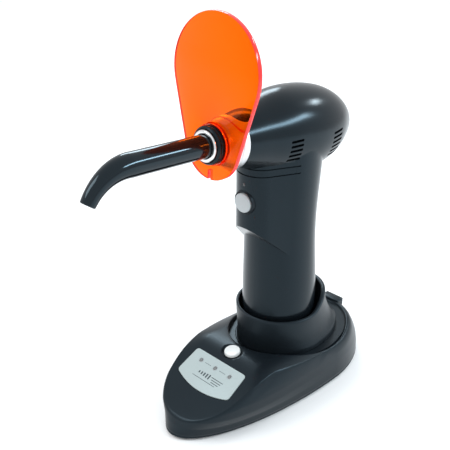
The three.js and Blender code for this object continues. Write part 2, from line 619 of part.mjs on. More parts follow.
function buildLightGuide(parent) {
  const bore = GUIDE.shaftRadius + GAP;
  const step = FERRULE_FRONT - FERRULE.exposed - 2;
  const inside = FERRULE.radius - FERRULE.relief;
  const ferrule = turned([
    [bore, FERRULE_REAR], [inside, FERRULE_REAR], [inside, step], [FERRULE.radius, step],
    [FERRULE.radius, FERRULE_FRONT - 0.5], [FERRULE.radius - 0.5, FERRULE_FRONT], [bore, FERRULE_FRONT],
    [bore, FERRULE_REAR],
  ], BARREL_FRAME);
  mesh("guide_ferrule", ferrule, FINISH.steel, parent);
  const sheath = guideTube(FERRULE_REAR + 0.5, 0, 0).subtract(guideTube(FERRULE_REAR - 2, GUIDE.coreWall, 3));
  mesh("guide_sheath", largest(sheath), FINISH.blackGloss, parent);
  mesh("guide_core", guideTube(FERRULE_REAR, GUIDE.coreWall + GAP, 0.2), FINISH.clear, parent);
}

function buildShield(parent) {
  const shape = new THREE.Shape();
  // Where the straight sides touch both arcs, as an angle from straight up.
  const lean = Math.acos((SHIELD.lowerRadius - SHIELD.upperRadius) / SHIELD.centres);
  const steps = 16;
  const outline = [];
  for (let i = 0; i <= steps; i++) {
    const turn = mix(-lean, lean, i / steps);
    outline.push(new THREE.Vector2(
      SHIELD.upperRadius * Math.sin(turn), SHIELD.centres + SHIELD.upperRadius * Math.cos(turn)));
  }
  for (let i = 0; i <= steps; i++) {
    const turn = mix(lean, 2 * Math.PI - lean, i / steps);
    outline.push(new THREE.Vector2(SHIELD.lowerRadius * Math.sin(turn), SHIELD.lowerRadius * Math.cos(turn)));
  }
  shape.setFromPoints(outline);
  const geometry = new THREE.ExtrudeGeometry(shape, { depth: SHIELD.thickness, bevelEnabled: false });
  const plate = solid(geometry, BARREL_FRAME.clone().multiply(at(0, 0, SHIELD_REAR)));
  const hole = rod(NOSE_RING.radius + SHIELD.runningGap, SHIELD_REAR - 2, SHIELD_FRONT + 2, BARREL_FRAME);
  const slot = block(
    [-SHIELD.slotWidth / 2, -SHIELD.lowerRadius - 5, SHIELD_REAR - 2],
    [SHIELD.slotWidth / 2, -SHIELD.lowerRadius * 0.72, SHIELD_FRONT + 2], BARREL_FRAME);
  mesh("light_shield", plate.subtract(hole).subtract(slot), FINISH.orange, parent);
}

// ---------------------------------------------------------------- charging base

// Deck height along the centre line: rim, sloping panel, crest, then a gentle fall to the rear.
function deckProfile(drop) {
  const [frontY, crestY] = [DECK.frontRimY, DECK.crestY];
  const reach = 12;
  return [
    [frontY - reach, DECK.frontRimZ - reach * 0.35 - drop],
    [frontY, DECK.frontRimZ - drop],
    [DECK.panelTopY, DECK.panelTopZ - drop],
    [mix(DECK.panelTopY, crestY, 0.5), mix(DECK.panelTopZ, DECK.crestZ, 0.72) - drop],
    [crestY, DECK.crestZ - drop],
    [crestY + 10, DECK.crestZ - 0.6 - drop],
    [0, mix(DECK.crestZ, DECK.rearZ, 0.75) - drop],
    [BASE.widestY, DECK.rearZ - drop],
    [BASE.rear + reach, DECK.rearZ - 1 - drop],
  ];
}

function baseRing(level, inset, count) {
  return eggRing(level.z, BASE_HALF - level.narrower - inset, BASE.front - level.frontIn - inset,
    BASE.rear - level.rearIn - inset, BASE.widestY, level.bluntness, count);
}

function baseBody(inset, bottom, drop) {
  const count = inset > 0 ? 22 : 36;
  const lowest = { ...BASE_LEVELS[0], z: bottom, narrower: 0.7, frontIn: 0.9, rearIn: 0.9 };
  const levels = [lowest, ...BASE_LEVELS.filter(({ z }) => z > bottom)];
  const body = loft(levels.map((level) => baseRing(level, inset, count)));
  const air = sideProfile([...deckProfile(drop), [BASE.rear + 12, 90], [DECK.frontRimY - 12, 90]], 80);
  return body.subtract(air);
}

// Outline of the moat round the cup's foot, or of the wall around it.
const grooveRing = (z, wall = 0) =>
  eggRing(z, CUP_FOOT_HALF + GROOVE.width + wall, CUP_FOOT.frontReach + GROOVE.frontWidth + wall,
    CUP_FOOT.rearReach + GROOVE.rearWidth + wall, cupFootMiddle(), 2);

const cupFootMiddle = () => (CUP_FOOT.rearReach - CUP_FOOT.frontReach) / 2;

// Place on the sloping panel: x across, y up the slope, z out of the face.
function panelFrame(y) {
  const z = DECK.panelTopZ + Math.tan(PANEL_SLOPE) * (y - DECK.panelTopY);
  return new THREE.Matrix4().makeRotationX(PANEL_SLOPE).setPosition(0, y, z);
}

// Label outline on the panel: straight top, sides slightly spread, lower edge bowed forwards, rounded corners.
function labelShape(inset) {
  const slope = Math.cos(PANEL_SLOPE);
  const [top, low] = [(LABEL.topY - labelMiddleY()) / slope - inset, (LABEL.lowY - labelMiddleY()) / slope + inset];
  const [wideTop, wideLow] = [LABEL.topHalfWidth - inset, LABEL.lowHalfWidth - inset];
  const corner = 2.2;
  const shape = new THREE.Shape();
  shape.moveTo(-wideTop + corner, top);
  shape.lineTo(wideTop - corner, top);
  shape.quadraticCurveTo(wideTop, top, wideTop + 0.1, top - corner);
  shape.lineTo(wideLow, low + corner);
  shape.quadraticCurveTo(wideLow, low, wideLow - corner, low - 0.6);
  shape.quadraticCurveTo(0, low - 2 * LABEL.bulge + 0.6, -wideLow + corner, low - 0.6);
  shape.quadraticCurveTo(-wideLow, low, -wideLow, low + corner);
  shape.lineTo(-wideTop - 0.1, top - corner);
  shape.quadraticCurveTo(-wideTop, top, -wideTop + corner, top);
  return shape;
}

const labelMiddleY = () => (LABEL.topY + LABEL.lowY) / 2;

function labelPrism(inset, from, to) {
  const geometry = new THREE.ExtrudeGeometry(labelShape(inset), { depth: to - from, bevelEnabled: false, curveSegments: 4 });
  return solid(geometry, panelFrame(labelMiddleY()).multiply(at(0, 0, from)));
}

const indicatorX = [-INDICATOR.spacing, 0, INDICATOR.spacing];

function indicatorRod(x, radius, from, to) {
  return rod(radius, from, to, panelFrame(INDICATOR.y).multiply(at(x, 0, 0)), 20);
}

// Frame on the deck at the light sensor, facing straight out of the local surface.
const sensorFrame = () => {
  const z = deckHeight(SENSOR.y);
  const slope = Math.atan2(deckHeight(SENSOR.y + 1) - deckHeight(SENSOR.y - 1), 2);
  return new THREE.Matrix4().makeRotationX(slope).setPosition(0, SENSOR.y, z);
};

function deckHeight(y) {
  const profile = deckProfile(0);
  const next = profile.findIndex(([py]) => py > y);
  const [[y0, z0], [y1, z1]] = [profile[next - 1], profile[next]];
  return mix(z0, z1, (y - y0) / (y1 - y0));
}

function inletBlock(inset) {
  const half = INLET.width / 2 - inset;
  return block(
    [-half, INLET.rear - INLET.depth, INLET.z - INLET.height / 2 + inset],
    [half, INLET.rear - inset, INLET.z + INLET.height / 2 - inset]);
}

function buildBaseHousing(parent) {
  const outer = baseBody(0, BASE.footGap, 0);
  let body = outer.subtract(baseBody(BASE.wall, BASE.footGap - 2, BASE.wall));
  const grooveFloor = CUP_FOOT.bottomZ - GAP;
  const tray = loft([grooveRing(grooveFloor - BASE.wall, GROOVE.wall), grooveRing(grooveFloor + 30, GROOVE.wall)]);
  body = body.add(tray.intersect(outer));
  const postBottom = BASE.footGap + 3;
  for (const { x, y } of BASE_SCREWS) {
    const post = rod(SCREW.headRadius + 1.2, postBottom, 60, at(x, y, 0), SMALL_FACETS).intersect(outer);
    const pilot = rod(SCREW.shankRadius + GAP, 0, postBottom + SCREW.length, at(x, y, 0), 10);
    body = body.add(post).subtract(pilot);
  }
  body = body.subtract(loft([grooveRing(grooveFloor), grooveRing(grooveFloor + 40)]));
  body = body.subtract(rod(CUP_OUTER + GAP, -5, 60));
  body = body.subtract(labelPrism(-GAP, -LABEL.recess - GAP, 20));
  for (const x of indicatorX) body = body.subtract(indicatorRod(x, INDICATOR.radius + GAP, -20, 9));
  const dimple = turned(
    [[0, -1.4], [SENSOR.radius + 0.6, -1.4], [SENSOR.dimple, 0.2], [SENSOR.dimple, 9], [0, 9]], sensorFrame());
  body = body.subtract(dimple).subtract(rod(SENSOR.radius - 1, -9, 2, sensorFrame(), 20));
  body = body.add(inletHood()).subtract(inletBlock(-GAP));
  mesh("base_housing", largest(body), FINISH.blackSatin, parent);
}

// Raised hood over the power inlet at the rear of the deck.
function inletHood() {
  const wall = 1.6;
  const half = INLET.width / 2 + wall;
  return block(
    [-half, CUP_FOOT.rearReach + GROOVE.rearWidth, INLET.z - INLET.height / 2 - wall],
    [half, INLET.rear + GAP, INLET.z + INLET.height / 2 + wall]);
}

const mirrored = (x, y) => [{ x: -x, y }, { x, y }];
const BASE_SCREWS = [...mirrored(BASE_HALF - 14.4, -40), ...mirrored(BASE_HALF - 19.4, 44)];
const FEET = [...mirrored(BASE_HALF - 24.4, -68), ...mirrored(BASE_HALF - 12.4, 28)];

function buildBottomCover(parent) {
  const inset = BASE.wall + GAP;
  const ring = (z) => baseRing({ ...BASE_LEVELS[0], z, narrower: 0.7, frontIn: 0.9, rearIn: 0.9 }, inset, 22);
  const [low, high] = [BASE.footGap + 0.4, BASE.footGap + 2.6];
  let cover = loft([ring(low), ring(high)]);
  for (const { x, y } of BASE_SCREWS) {
    cover = cover.subtract(rod(SCREW.shankRadius + GAP, -1, 9, at(x, y, 0), 10));
    cover = cover.subtract(rod(SCREW.headRadius + GAP, -1, low + 1.2, at(x, y, 0), SMALL_FACETS));
  }
  for (const { x, y } of FEET) cover = cover.subtract(rod(FOOT.radius + GAP, -1, low + 0.8, at(x, y, 0), 20));
  mesh("base_bottom_cover", cover, FINISH.blackSatin, parent);
  BASE_SCREWS.forEach(({ x, y }, index) => {
    const seat = low + 1.2 - GAP - SCREW.headHeight;
    mesh(`base_screw_${index + 1}`, screwBody(at(x, y, seat)), FINISH.steel, parent);
  });
  FEET.forEach(({ x, y }, index) => {
    const foot = turned(
      [[0, 0], [FOOT.radius - 0.5, 0], [FOOT.radius, 0.5], [FOOT.radius, low + 0.8 - GAP], [0, low + 0.8 - GAP]],
      at(x, y, 0), 20);
    mesh(`rubber_foot_${index + 1}`, foot, FINISH.rubber, parent);
  });
}

// Socket that holds the handpiece: a round well below the deck and a flared collar above it, lower in front.
function buildCup(parent) {
  const rimZ = (y) => mix(CUP.rimFrontZ, CUP.rimRearZ, smooth((y + CUP_OUTER) / CUP.rimRun));
  const footBottom = CUP_FOOT.bottomZ;
  const footTop = footBottom + CUP_FOOT.height;
  const middle = cupFootMiddle();
  const ring = (z, half, front, rear) => eggRing(z, half, front, rear, mix(middle, CUP.rearSpread, 0.5), 2);
  const skirt = loft([
    ring(footBottom, CUP_FOOT_HALF, CUP_FOOT.frontReach + 1, CUP_FOOT.rearReach),
    ring(footTop - 1, CUP_FOOT_HALF, CUP_FOOT.frontReach + 1, CUP_FOOT.rearReach - 1),
    ring(footTop + 2, CUP_FOOT_HALF - 0.9, CUP_FOOT.frontReach + 0.4, CUP_FOOT.rearReach - 5.5),
    ring(footTop + 10, CUP_OUTER + 0.4, CUP_OUTER - 0.2, CUP_OUTER + 12),
    ring(footTop + 20, CUP_OUTER + 0.4, CUP_OUTER - 0.6, CUP_OUTER + 7),
    ring(CUP.rimRearZ + 4, CUP_OUTER + 0.6, CUP_OUTER - 0.8, CUP_OUTER + 2 * CUP.rearSpread),
  ]);
  const well = rod(CUP_OUTER, CUP.floorZ, footBottom + 1);
  const boreRing = (z, rear) => eggRing(z, CUP_BORE, CUP_BORE, CUP_BORE + rear, 0, 2);
  const bore = loft([
    boreRing(CUP.floorZ + CUP.floor, 0),
    boreRing(footTop, 0),
    boreRing(CUP.rimRearZ, 2 * CUP.rearSpread),
    boreRing(CUP.rimRearZ + 12, 2 * CUP.rearSpread + 1),
  ]);
  const steps = 8;
  const rimLine = Array.from({ length: steps + 1 }, (_, i) => {
    const y = mix(-CUP_OUTER - 1, CUP.rimRun - CUP_OUTER, i / steps);
    return [y, rimZ(y)];
  });
  const over = sideProfile([[-80, CUP.rimFrontZ], ...rimLine, [80, CUP.rimRearZ], [80, 120], [-80, 120]], 80);
  let cup = skirt.add(well).subtract(bore).subtract(over);
  const window = block([-CONTACT.spacing / 2 - 4, -4, CUP.floorZ - 1], [CONTACT.spacing / 2 + 4, 4, CUP.floorZ + 9]);
  cup = cup.subtract(window);
  mesh("cradle_cup", largest(cup), FINISH.blackSatin, parent);
}

// Block in the cup's floor with two spring-loaded charging pins.
function buildChargeContacts(parent) {
  const [halfX, halfY] = [CONTACT.spacing / 2 + 4 - GAP, 4 - GAP];
  const top = GRIP.bottom - 1.4;
  let housing = block([-halfX, -halfY, CUP.floorZ - 2], [halfX, halfY, top]);
  for (const x of contactX) {
    housing = housing.subtract(rod(CONTACT.radius + 0.15, CUP.floorZ - 1, 30, at(x, CONTACT_Y, 0), SMALL_FACETS));
  }
  mesh("contact_block", housing, FINISH.white, parent);
  contactX.forEach((x, index) => {
    const tip = GRIP.bottom - 0.1 - GAP;
    const pin = turned(
      [[0, CUP.floorZ + 0.6], [CONTACT.radius, CUP.floorZ + 0.6], [CONTACT.radius, top], [CONTACT.radius - 0.6, top],
        [CONTACT.radius - 0.6, tip - 0.5], [CONTACT.radius - 1, tip], [0, tip]], at(x, CONTACT_Y, 0), SMALL_FACETS);
    mesh(`contact_pin_${index + 1}`, pin, FINISH.brass, parent);
  });
}

function buildBaseElectronics(parent) {
  const normal = panelFrame(labelMiddleY());
  const halfWidth = BASE_HALF - 19.4;
  const board = block([-halfWidth, -13, -9.6], [halfWidth, 16, -8], normal);
  const emitters = indicatorX.map((x) => indicatorRod(x, 1.3, -9.8, -4.6));
  mesh("base_circuit_board", emitters.reduce((sum, e) => sum.add(e), board), FINISH.board, parent);
  indicatorX.forEach((x, index) => {
    const lens = indicatorRod(x, INDICATOR.radius, -INDICATOR.length, LABEL.thickness - LABEL.recess + 0.3);
    mesh(`indicator_lens_${index + 1}`, lens, FINISH.white, parent);
  });
  let plate = labelPrism(0, -LABEL.recess, LABEL.thickness - LABEL.recess);
  for (const x of indicatorX) plate = plate.subtract(indicatorRod(x, INDICATOR.radius + GAP, -5, 5));
  mesh("label_plate", plate, FINISH.silverLabel, parent);
  const window = turned(
    [[0, -1.1], [SENSOR.radius, -1.1], [SENSOR.radius, 0.3], [SENSOR.radius - 0.5, 0.7], [0, 0.9]], sensorFrame());
  mesh("sensor_window", window, FINISH.white, parent);
  const cell = rod(2.6, -4.4, -1.1 - GAP, sensorFrame(), 20);
  mesh("light_sensor", cell, FINISH.blackSatin, parent);
  const socket = new THREE.Matrix4().makeRotationX(-Math.PI / 2).setPosition(0, 0, INLET.z);
  const jack = inletBlock(0)
    .subtract(rod(INLET.socketRadius, INLET.rear - INLET.socketDepth, INLET.rear + 2, socket, SMALL_FACETS));
  mesh("dc_inlet", jack, FINISH.blackSatin, parent);
}

// ---------------------------------------------------------------- assembly

function buildHandpiece() {
  const group = new THREE.Group();
  buildHousing(group);
  buildHousingScrews(group);
  buildTrigger(group);
  buildDriverBoard(group);
  buildBattery(group);
  buildHandleEnd(group);
  buildLightEngine(group);
  buildNose(group);
  buildGuideClip(group);
  buildLightGuide(group);
  buildShield(group);
  return group;
}

function buildBase() {
  const group = new THREE.Group();
  buildBaseHousing(group);
  buildBottomCover(group);
  buildCup(group);
  buildChargeContacts(group);
  buildBaseElectronics(group);
  return group;
}

const curingLight = new THREE.Group();
const centred = new THREE.Group();
centred.add(buildBase(), buildHandpiece());
curingLight.add(centred);
const extent = new THREE.Box3().setFromObject(centred);
centred.position.y = -(extent.min.y + extent.max.y) / 2;

export default curingLight;
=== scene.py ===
"""A curing light in its charging base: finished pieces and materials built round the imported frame."""

from __future__ import annotations

import logging
import math
from collections.abc import Callable, Sequence
from dataclasses import dataclass, field
from enum import Enum

import bpy
from mathutils import Matrix, Vector


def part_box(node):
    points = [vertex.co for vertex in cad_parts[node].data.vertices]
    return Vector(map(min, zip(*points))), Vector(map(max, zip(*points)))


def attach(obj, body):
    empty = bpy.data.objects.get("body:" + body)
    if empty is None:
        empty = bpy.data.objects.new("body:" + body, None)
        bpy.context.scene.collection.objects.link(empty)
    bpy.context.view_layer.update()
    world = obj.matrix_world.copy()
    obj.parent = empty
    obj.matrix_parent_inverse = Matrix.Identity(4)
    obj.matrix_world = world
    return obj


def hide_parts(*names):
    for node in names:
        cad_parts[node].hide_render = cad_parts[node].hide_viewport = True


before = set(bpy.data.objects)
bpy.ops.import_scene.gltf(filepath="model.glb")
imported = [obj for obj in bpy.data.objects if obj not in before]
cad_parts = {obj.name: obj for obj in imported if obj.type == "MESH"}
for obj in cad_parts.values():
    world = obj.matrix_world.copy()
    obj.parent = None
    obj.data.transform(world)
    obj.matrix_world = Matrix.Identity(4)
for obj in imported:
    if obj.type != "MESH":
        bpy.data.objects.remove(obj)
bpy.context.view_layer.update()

LOG = logging.getLogger("curing_light")

MM = 0.001
TAU = 2 * math.pi
TINY = 1e-6
PANEL_SLOPE = 0.4675  # rise of the front panel over its run
FOOT_Y = -68.0  # front feet, from the handle's axis
Ring = list[Vector]
Profile = Sequence[tuple[float, float]]


def handle_axis_y() -> float:
    """Where the handle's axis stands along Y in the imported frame, in millimetres."""
    low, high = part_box("rubber_foot_1")
    return (low.y + high.y) / 2 / MM - FOOT_Y


def cad_box(name: str) -> tuple[Vector, Vector]:
    """Corners of a CAD node's box.

    Args:
        name: the node.

    Returns:
        Lowest and highest corner, in millimetres from the handle's axis.
    """
    shift = handle_axis_y()
    low, high = (Vector((c.x / MM, c.y / MM - shift, c.z / MM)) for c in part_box(name))
    return low, high


TO_FRAME = Matrix.Translation((0, handle_axis_y() * MM, 0)) @ Matrix.Scale(MM, 4)


class Side(Enum):
    """The two moulded halves of the handpiece."""

    RIGHT = 1
    LEFT = -1


class Shading(Enum):
    """Angle over which an edge stays crisp."""

    MOULDED = 35.0
    MACHINED = 28.0


# ---------------------------------------------------------------- small maths


def clamp01(value: float) -> float:
    """The value held between 0 and 1."""
    return min(1.0, max(0.0, value))


def ease(value: float) -> float:
    """Smooth step of the value between 0 and 1."""
    held = clamp01(value)
    return held * held * (3 - 2 * held)


def mix(low: float, high: float, share: float) -> float:
    """Straight blend of two numbers."""
    return low + (high - low) * share


def power(base: float, exponent: float) -> float:
    """Signed power, for superellipses."""
    return math.copysign(abs(base) ** exponent, base)


def table(points: Profile, key: float) -> float:
    """Straight interpolation in a short table.

    Args:
        points: (key, value) pairs in rising order of key.
        key: where to read.

    Returns:
        The value there, held at both ends.
    """
    if key <= points[0][0]:
        return points[0][1]
    for (k0, v0), (k1, v1) in zip(points, points[1:]):
        if key <= k1:
            return mix(v0, v1, (key - k0) / (k1 - k0))
    return points[-1][1]


def spline(points: Sequence[Vector], steps: int) -> list[Vector]:
    """Centripetal Catmull-Rom curve through the points.

    Args:
        points: the knots; the first and last also end the curve.
        steps: pieces between two knots.

    Returns:
        The points of the curve, knots included.
    """
    knots = [points[0] * 2 - points[1], *points, points[-1] * 2 - points[-2]]
    out = [points[0].copy()]
    for a, b, c, d in zip(knots, knots[1:], knots[2:], knots[3:]):
        t1 = max((b - a).length ** 0.5, TINY)
        t2 = t1 + max((c - b).length ** 0.5, TINY)
        t3 = t2 + max((d - c).length ** 0.5, TINY)
        for i in range(1, steps + 1):
            t = mix(t1, t2, i / steps)
            p = a * ((t1 - t) / t1) + b * (t / t1)
            q = b * ((t2 - t) / (t2 - t1)) + c * ((t - t1) / (t2 - t1))
            r = c * ((t3 - t) / (t3 - t2)) + d * ((t - t2) / (t3 - t2))
            u = p * ((t2 - t) / t2) + q * (t / t2)
            v = q * ((t3 - t) / (t3 - t1)) + r * ((t - t1) / (t3 - t1))
            out.append(u * ((t2 - t) / (t2 - t1)) + v * ((t - t1) / (t2 - t1)))
    return out


def circle(radius: float, z: float, count: int) -> Ring:
    """Level circle about the local Z axis.

    Args:
        radius: its radius.
        z: its height.
        count: points round it.

    Returns:
        The points, from +X towards +Y.
    """
    turns = [TAU * i / count for i in range(count)]
    return [Vector((radius * math.cos(turn), radius * math.sin(turn), z)) for turn in turns]


# ---------------------------------------------------------------- modelling steps


class Bench:
    """Modelling steps shared by all pieces, drawn in millimetres and then settled into the frame."""

    weld = 1e-4

    @staticmethod
    def pick(obj: bpy.types.Object) -> None:
        """Makes one object the only selected and the active one.

        Args:
            obj: the object to select.
        """
        bpy.ops.object.select_all(action="DESELECT")
        obj.select_set(True)
        bpy.context.view_layer.objects.active = obj

    @staticmethod
    def edit(obj: bpy.types.Object, *steps: Callable[[], object]) -> None:
        """Runs edit-mode steps on the whole of one object.

        Args:
            obj: the object to edit.
            steps: edit-mode operators, in order.
        """
        Bench.pick(obj)
        bpy.ops.object.mode_set(mode="EDIT")
        bpy.ops.mesh.select_all(action="SELECT")
        for step in steps:
            step()
        bpy.ops.object.mode_set(mode="OBJECT")

    @staticmethod
    def skin(name: str, rings: Sequence[Ring], around: bool = False) -> bpy.types.Object:
        """Wraps a grid round a row of rings and closes its seam and ends.

        Args:
            name: name of the piece.
            rings: outlines with the same number of points.
            around: True if the last ring joins the first, as on a tube with a wall.

        Returns:
            The new closed object.
        """
        rows = [*rings, rings[0]] if around else list(rings)
        columns = len(rows[0])
        bpy.ops.object.select_all(action="DESELECT")
        bpy.ops.mesh.primitive_grid_add(x_subdivisions=columns, y_subdivisions=len(rows) - 1, size=2)
        obj = bpy.context.object
        obj.name = name
        obj.data.name = name
        for row, ring in enumerate(rows):
            for column in range(columns + 1):
                obj.data.vertices[row * (columns + 1) + column].co = ring[column % columns]
        steps: list[Callable[[], object]] = [lambda: bpy.ops.mesh.remove_doubles(threshold=Bench.weld)]
        if not around:
            steps.append(lambda: bpy.ops.mesh.fill_holes(sides=0))
        steps.append(lambda: bpy.ops.mesh.normals_make_consistent(inside=False))
        Bench.edit(obj, *steps)
        return obj

    @staticmethod
    def capped(name: str, rings: Sequence[Ring]) -> bpy.types.Object:
        """As skin, with both ends drawn in to their middle points.

        Args:
            name: name of the piece.
            rings: outlines with the same number of points.

        Returns:
            The new closed object.
        """
        ends = []
        for ring in (rings[0], rings[-1]):
            middle = sum(ring, Vector()) / len(ring)
            ends.append([middle.copy() for _ in ring])
        return Bench.skin(name, [ends[0], *rings, ends[1]])

    @staticmethod
    def walled(
        name: str, column: Callable[[float], list[Vector]], count: int, around: bool = False,
    ) -> bpy.types.Object:
        """Shell drawn as one section in every direction round the handle's axis.

        Args:
            name: name of the piece.
            column: gives the section's points for a direction.
            count: number of directions.
            around: True if the section comes round to its own start.

        Returns:
            The new closed object.
        """
        columns = [column(TAU * i / count) for i in range(count)]
        return Bench.skin(name, [list(ring) for ring in zip(*columns)], around=around)

    @staticmethod
    def turned(name: str, profile: Profile, place: Matrix, facets: int = 96) -> bpy.types.Object:
        """Turned body about the local Z axis.

        Args:
            name: name of the piece.
            profile: (radius, height) points, from the axis to the axis or round a closed section.
            place: where the local frame stands, in millimetres.
            facets: sides of the body.

        Returns:
            The new closed object.
        """
        rings = [[place @ point for point in circle(radius, height, facets)] for radius, height in profile]
        on_axis = profile[0][0] < TINY
        return Bench.skin(name, rings, around=not on_axis)

    @staticmethod
    def block(
        name: str, low: Sequence[float], high: Sequence[float], place: Matrix | None = None,
    ) -> bpy.types.Object:
        """Box between two corners of a local frame.

        Args:
            name: name of the piece.
            low: lowest corner.
            high: highest corner.
            place: the local frame; none is the common one.

        Returns:
            The new box.
        """
        bpy.ops.object.select_all(action="DESELECT")
        bpy.ops.mesh.primitive_cube_add(size=1)
        obj = bpy.context.object
        obj.name = name
        middle = Vector((a + b) / 2 for a, b in zip(low, high))
        size = [b - a for a, b in zip(low, high)]
        obj.data.transform((place or Matrix()) @ Matrix.Translation(middle) @ Matrix.Diagonal((*size, 1)))
        return obj

    @staticmethod
    def rod(
        name: str, radius: float, low: float, high: float, place: Matrix, facets: int = 64,
    ) -> bpy.types.Object:
        """Plain round bar along the local Z axis."""
        return Bench.turned(name, [(0, low), (radius, low), (radius, high), (0, high)], place, facets)

    @staticmethod
    def boolean(
        obj: bpy.types.Object, others: Sequence[bpy.types.Object], operation: str,
    ) -> bpy.types.Object:
        """Joins or cuts with other solids, which are used up.

        Args:
            obj: the solid that stays.
            others: solids that are used up.
            operation: UNION or DIFFERENCE.

        Returns:
            The same object.
        """
        for other in others:
            Bench.pick(obj)
            step = obj.modifiers.new("join", "BOOLEAN")
            step.operation = operation
            step.solver = "MANIFOLD"
            step.object = other
            bpy.ops.object.modifier_apply(modifier=step.name)
            bpy.data.objects.remove(other)
        return obj

    @staticmethod
    def cut(obj: bpy.types.Object, *others: bpy.types.Object) -> bpy.types.Object:
        """Takes the other solids away from this one."""
        return Bench.boolean(obj, others, "DIFFERENCE")

    @staticmethod
    def join(obj: bpy.types.Object, *others: bpy.types.Object) -> bpy.types.Object:
        """Adds the other solids to this one."""
        return Bench.boolean(obj, others, "UNION")

    @staticmethod
    def bevel(
        obj: bpy.types.Object, width: float, segments: int = 3, angle: float = 35.0,
    ) -> bpy.types.Object:
        """Rounds the crisp edges.

        Args:
            obj: the piece.
            width: width of the rounding.
            segments: faces across it.
            angle: smallest angle of an edge that is rounded, in degrees.

        Returns:
            The same object.
        """
        Bench.pick(obj)
        step = obj.modifiers.new("round", "BEVEL")
        step.width = width
        step.segments = segments
        step.limit_method = "ANGLE"
        step.angle_limit = math.radians(angle)
        step.use_clamp_overlap = True
        bpy.ops.object.modifier_apply(modifier=step.name)
        return obj

    @staticmethod
    def copy(obj: bpy.types.Object, name: str) -> bpy.types.Object:
        """A second object with its own mesh.

        Args:
            obj: the original.
            name: name of the copy.

        Returns:
            The copy.
        """
        made = obj.copy()
        made.data = obj.data.copy()
        made.name = name
        bpy.context.scene.collection.objects.link(made)
        return made

    @staticmethod
    def keep_side(obj: bpy.types.Object, side: Side, gap: float) -> bpy.types.Object:
        """Keeps what lies on one side of the parting plane, closed again.

        Args:
            obj: the piece.
            side: the side that stays.
            gap: distance of the cut from the parting plane.

        Returns:
            The same object.
        """
        Bench.edit(
            obj,
            lambda: bpy.ops.mesh.bisect(
                plane_co=(side.value * gap, 0, 0), plane_no=(side.value, 0, 0), use_fill=True,
                clear_inner=True),
        )
        return obj

    @staticmethod
    def settle(
        obj: bpy.types.Object, body: str, finish: Finish, shading: Shading = Shading.MOULDED,
        replaces: Sequence[str] = (),
    ) -> bpy.types.Object:
        """Puts a finished piece in the frame, dresses it and lets it ride on its body.

        Args:
            obj: the piece, drawn in millimetres round the handle's axis.
            body: CAD body that it moves with.
            finish: its material.
            shading: how sharp its crisp edges are.
            replaces: CAD nodes that it stands for.

        Returns:
            The same object.
        """
        obj.data.transform(TO_FRAME)
        Bench.pick(obj)
        bpy.ops.object.shade_smooth_by_angle(angle=math.radians(shading.value))
        obj.data.materials.clear()
        obj.data.materials.append(finish.material())
        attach(obj, body)
        if replaces:
            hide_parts(*replaces)
        LOG.info("%s rides on %s, %d faces", obj.name, body, len(obj.data.polygons))
        return obj


# ---------------------------------------------------------------- shader building


class Sheet:
    """Node sheet of one material."""

    def __init__(self, name: str) -> None:
        """Starts an empty material.

        Args:
            name: name of the material.
        """
        self.material = bpy.data.materials.new(name)
        self.material.use_nodes = True
        self.material.node_tree.nodes.clear()

    def node(
        self, kind: str, settings: dict[str, object] | None = None, **inputs: object,
    ) -> bpy.types.Node:
        """Adds one node.

        Args:
            kind: node type without its prefix.
            settings: properties set before the sockets; stops is a ramp's list of (place, colour).
            inputs: socket values or links, spaces written as underscores; in_0 names a socket by place.

        Returns:
            The node.
        """
        made = self.material.node_tree.nodes.new("ShaderNode" + kind)
        for key, value in (settings or {}).items():
            if key == "stops":
                ramp = made.color_ramp
                while len(ramp.elements) < len(value):
                    ramp.elements.new(0.5)
                for element, (stop, colour) in zip(ramp.elements, value):
                    element.position = stop
                    element.color = colour
            else:
                setattr(made, key, value)
        for key, value in inputs.items():
            place = int(key[3:]) if key.startswith("in_") else key.replace("_", " ")
            socket = made.inputs[place]
            if isinstance(value, Wire):
                self.material.node_tree.links.new(value.socket, socket)
            else:
                socket.default_value = value
        return made

    def wire(
        self, kind: str, output: str | int, settings: dict[str, object] | None = None, **inputs: object,
    ) -> Wire:
        """Adds one node and returns one of its outputs as a wire."""
        return Wire(self, self.node(kind, settings, **inputs).outputs[output])

    def place(self) -> Wire:
        """Object coordinates of the surface point."""
        return self.wire("TexCoord", "Object")

    def noise(
        self, scale: float, detail: float = 3.0, stretch: tuple[float, float, float] = (1, 1, 1),
    ) -> Wire:
        """Noise from 0 to 1 over the object."""
        mapped = self.wire("Mapping", "Vector", Vector=self.place(), Scale=stretch)
        return self.wire("TexNoise", "Fac", Vector=mapped, Scale=scale, Detail=detail)

    def blend(self, share: Wire | float, low: Sequence[float], high: Sequence[float]) -> Wire:
        """Blend of two colours."""
        return self.wire("Mix", 2, {"data_type": "RGBA"}, in_0=share, in_6=rgba(low), in_7=rgba(high))

    def bump(self, height: Wire, distance: float, strength: float = 1.0) -> Wire:
        """Surface normal bent by a height."""
        return self.wire("Bump", "Normal", Height=height, Distance=distance, Strength=strength)

    def surface(self, shader: Wire) -> bpy.types.Material:
        """Ends the sheet with its output."""
        self.node("OutputMaterial", Surface=shader)
        return self.material


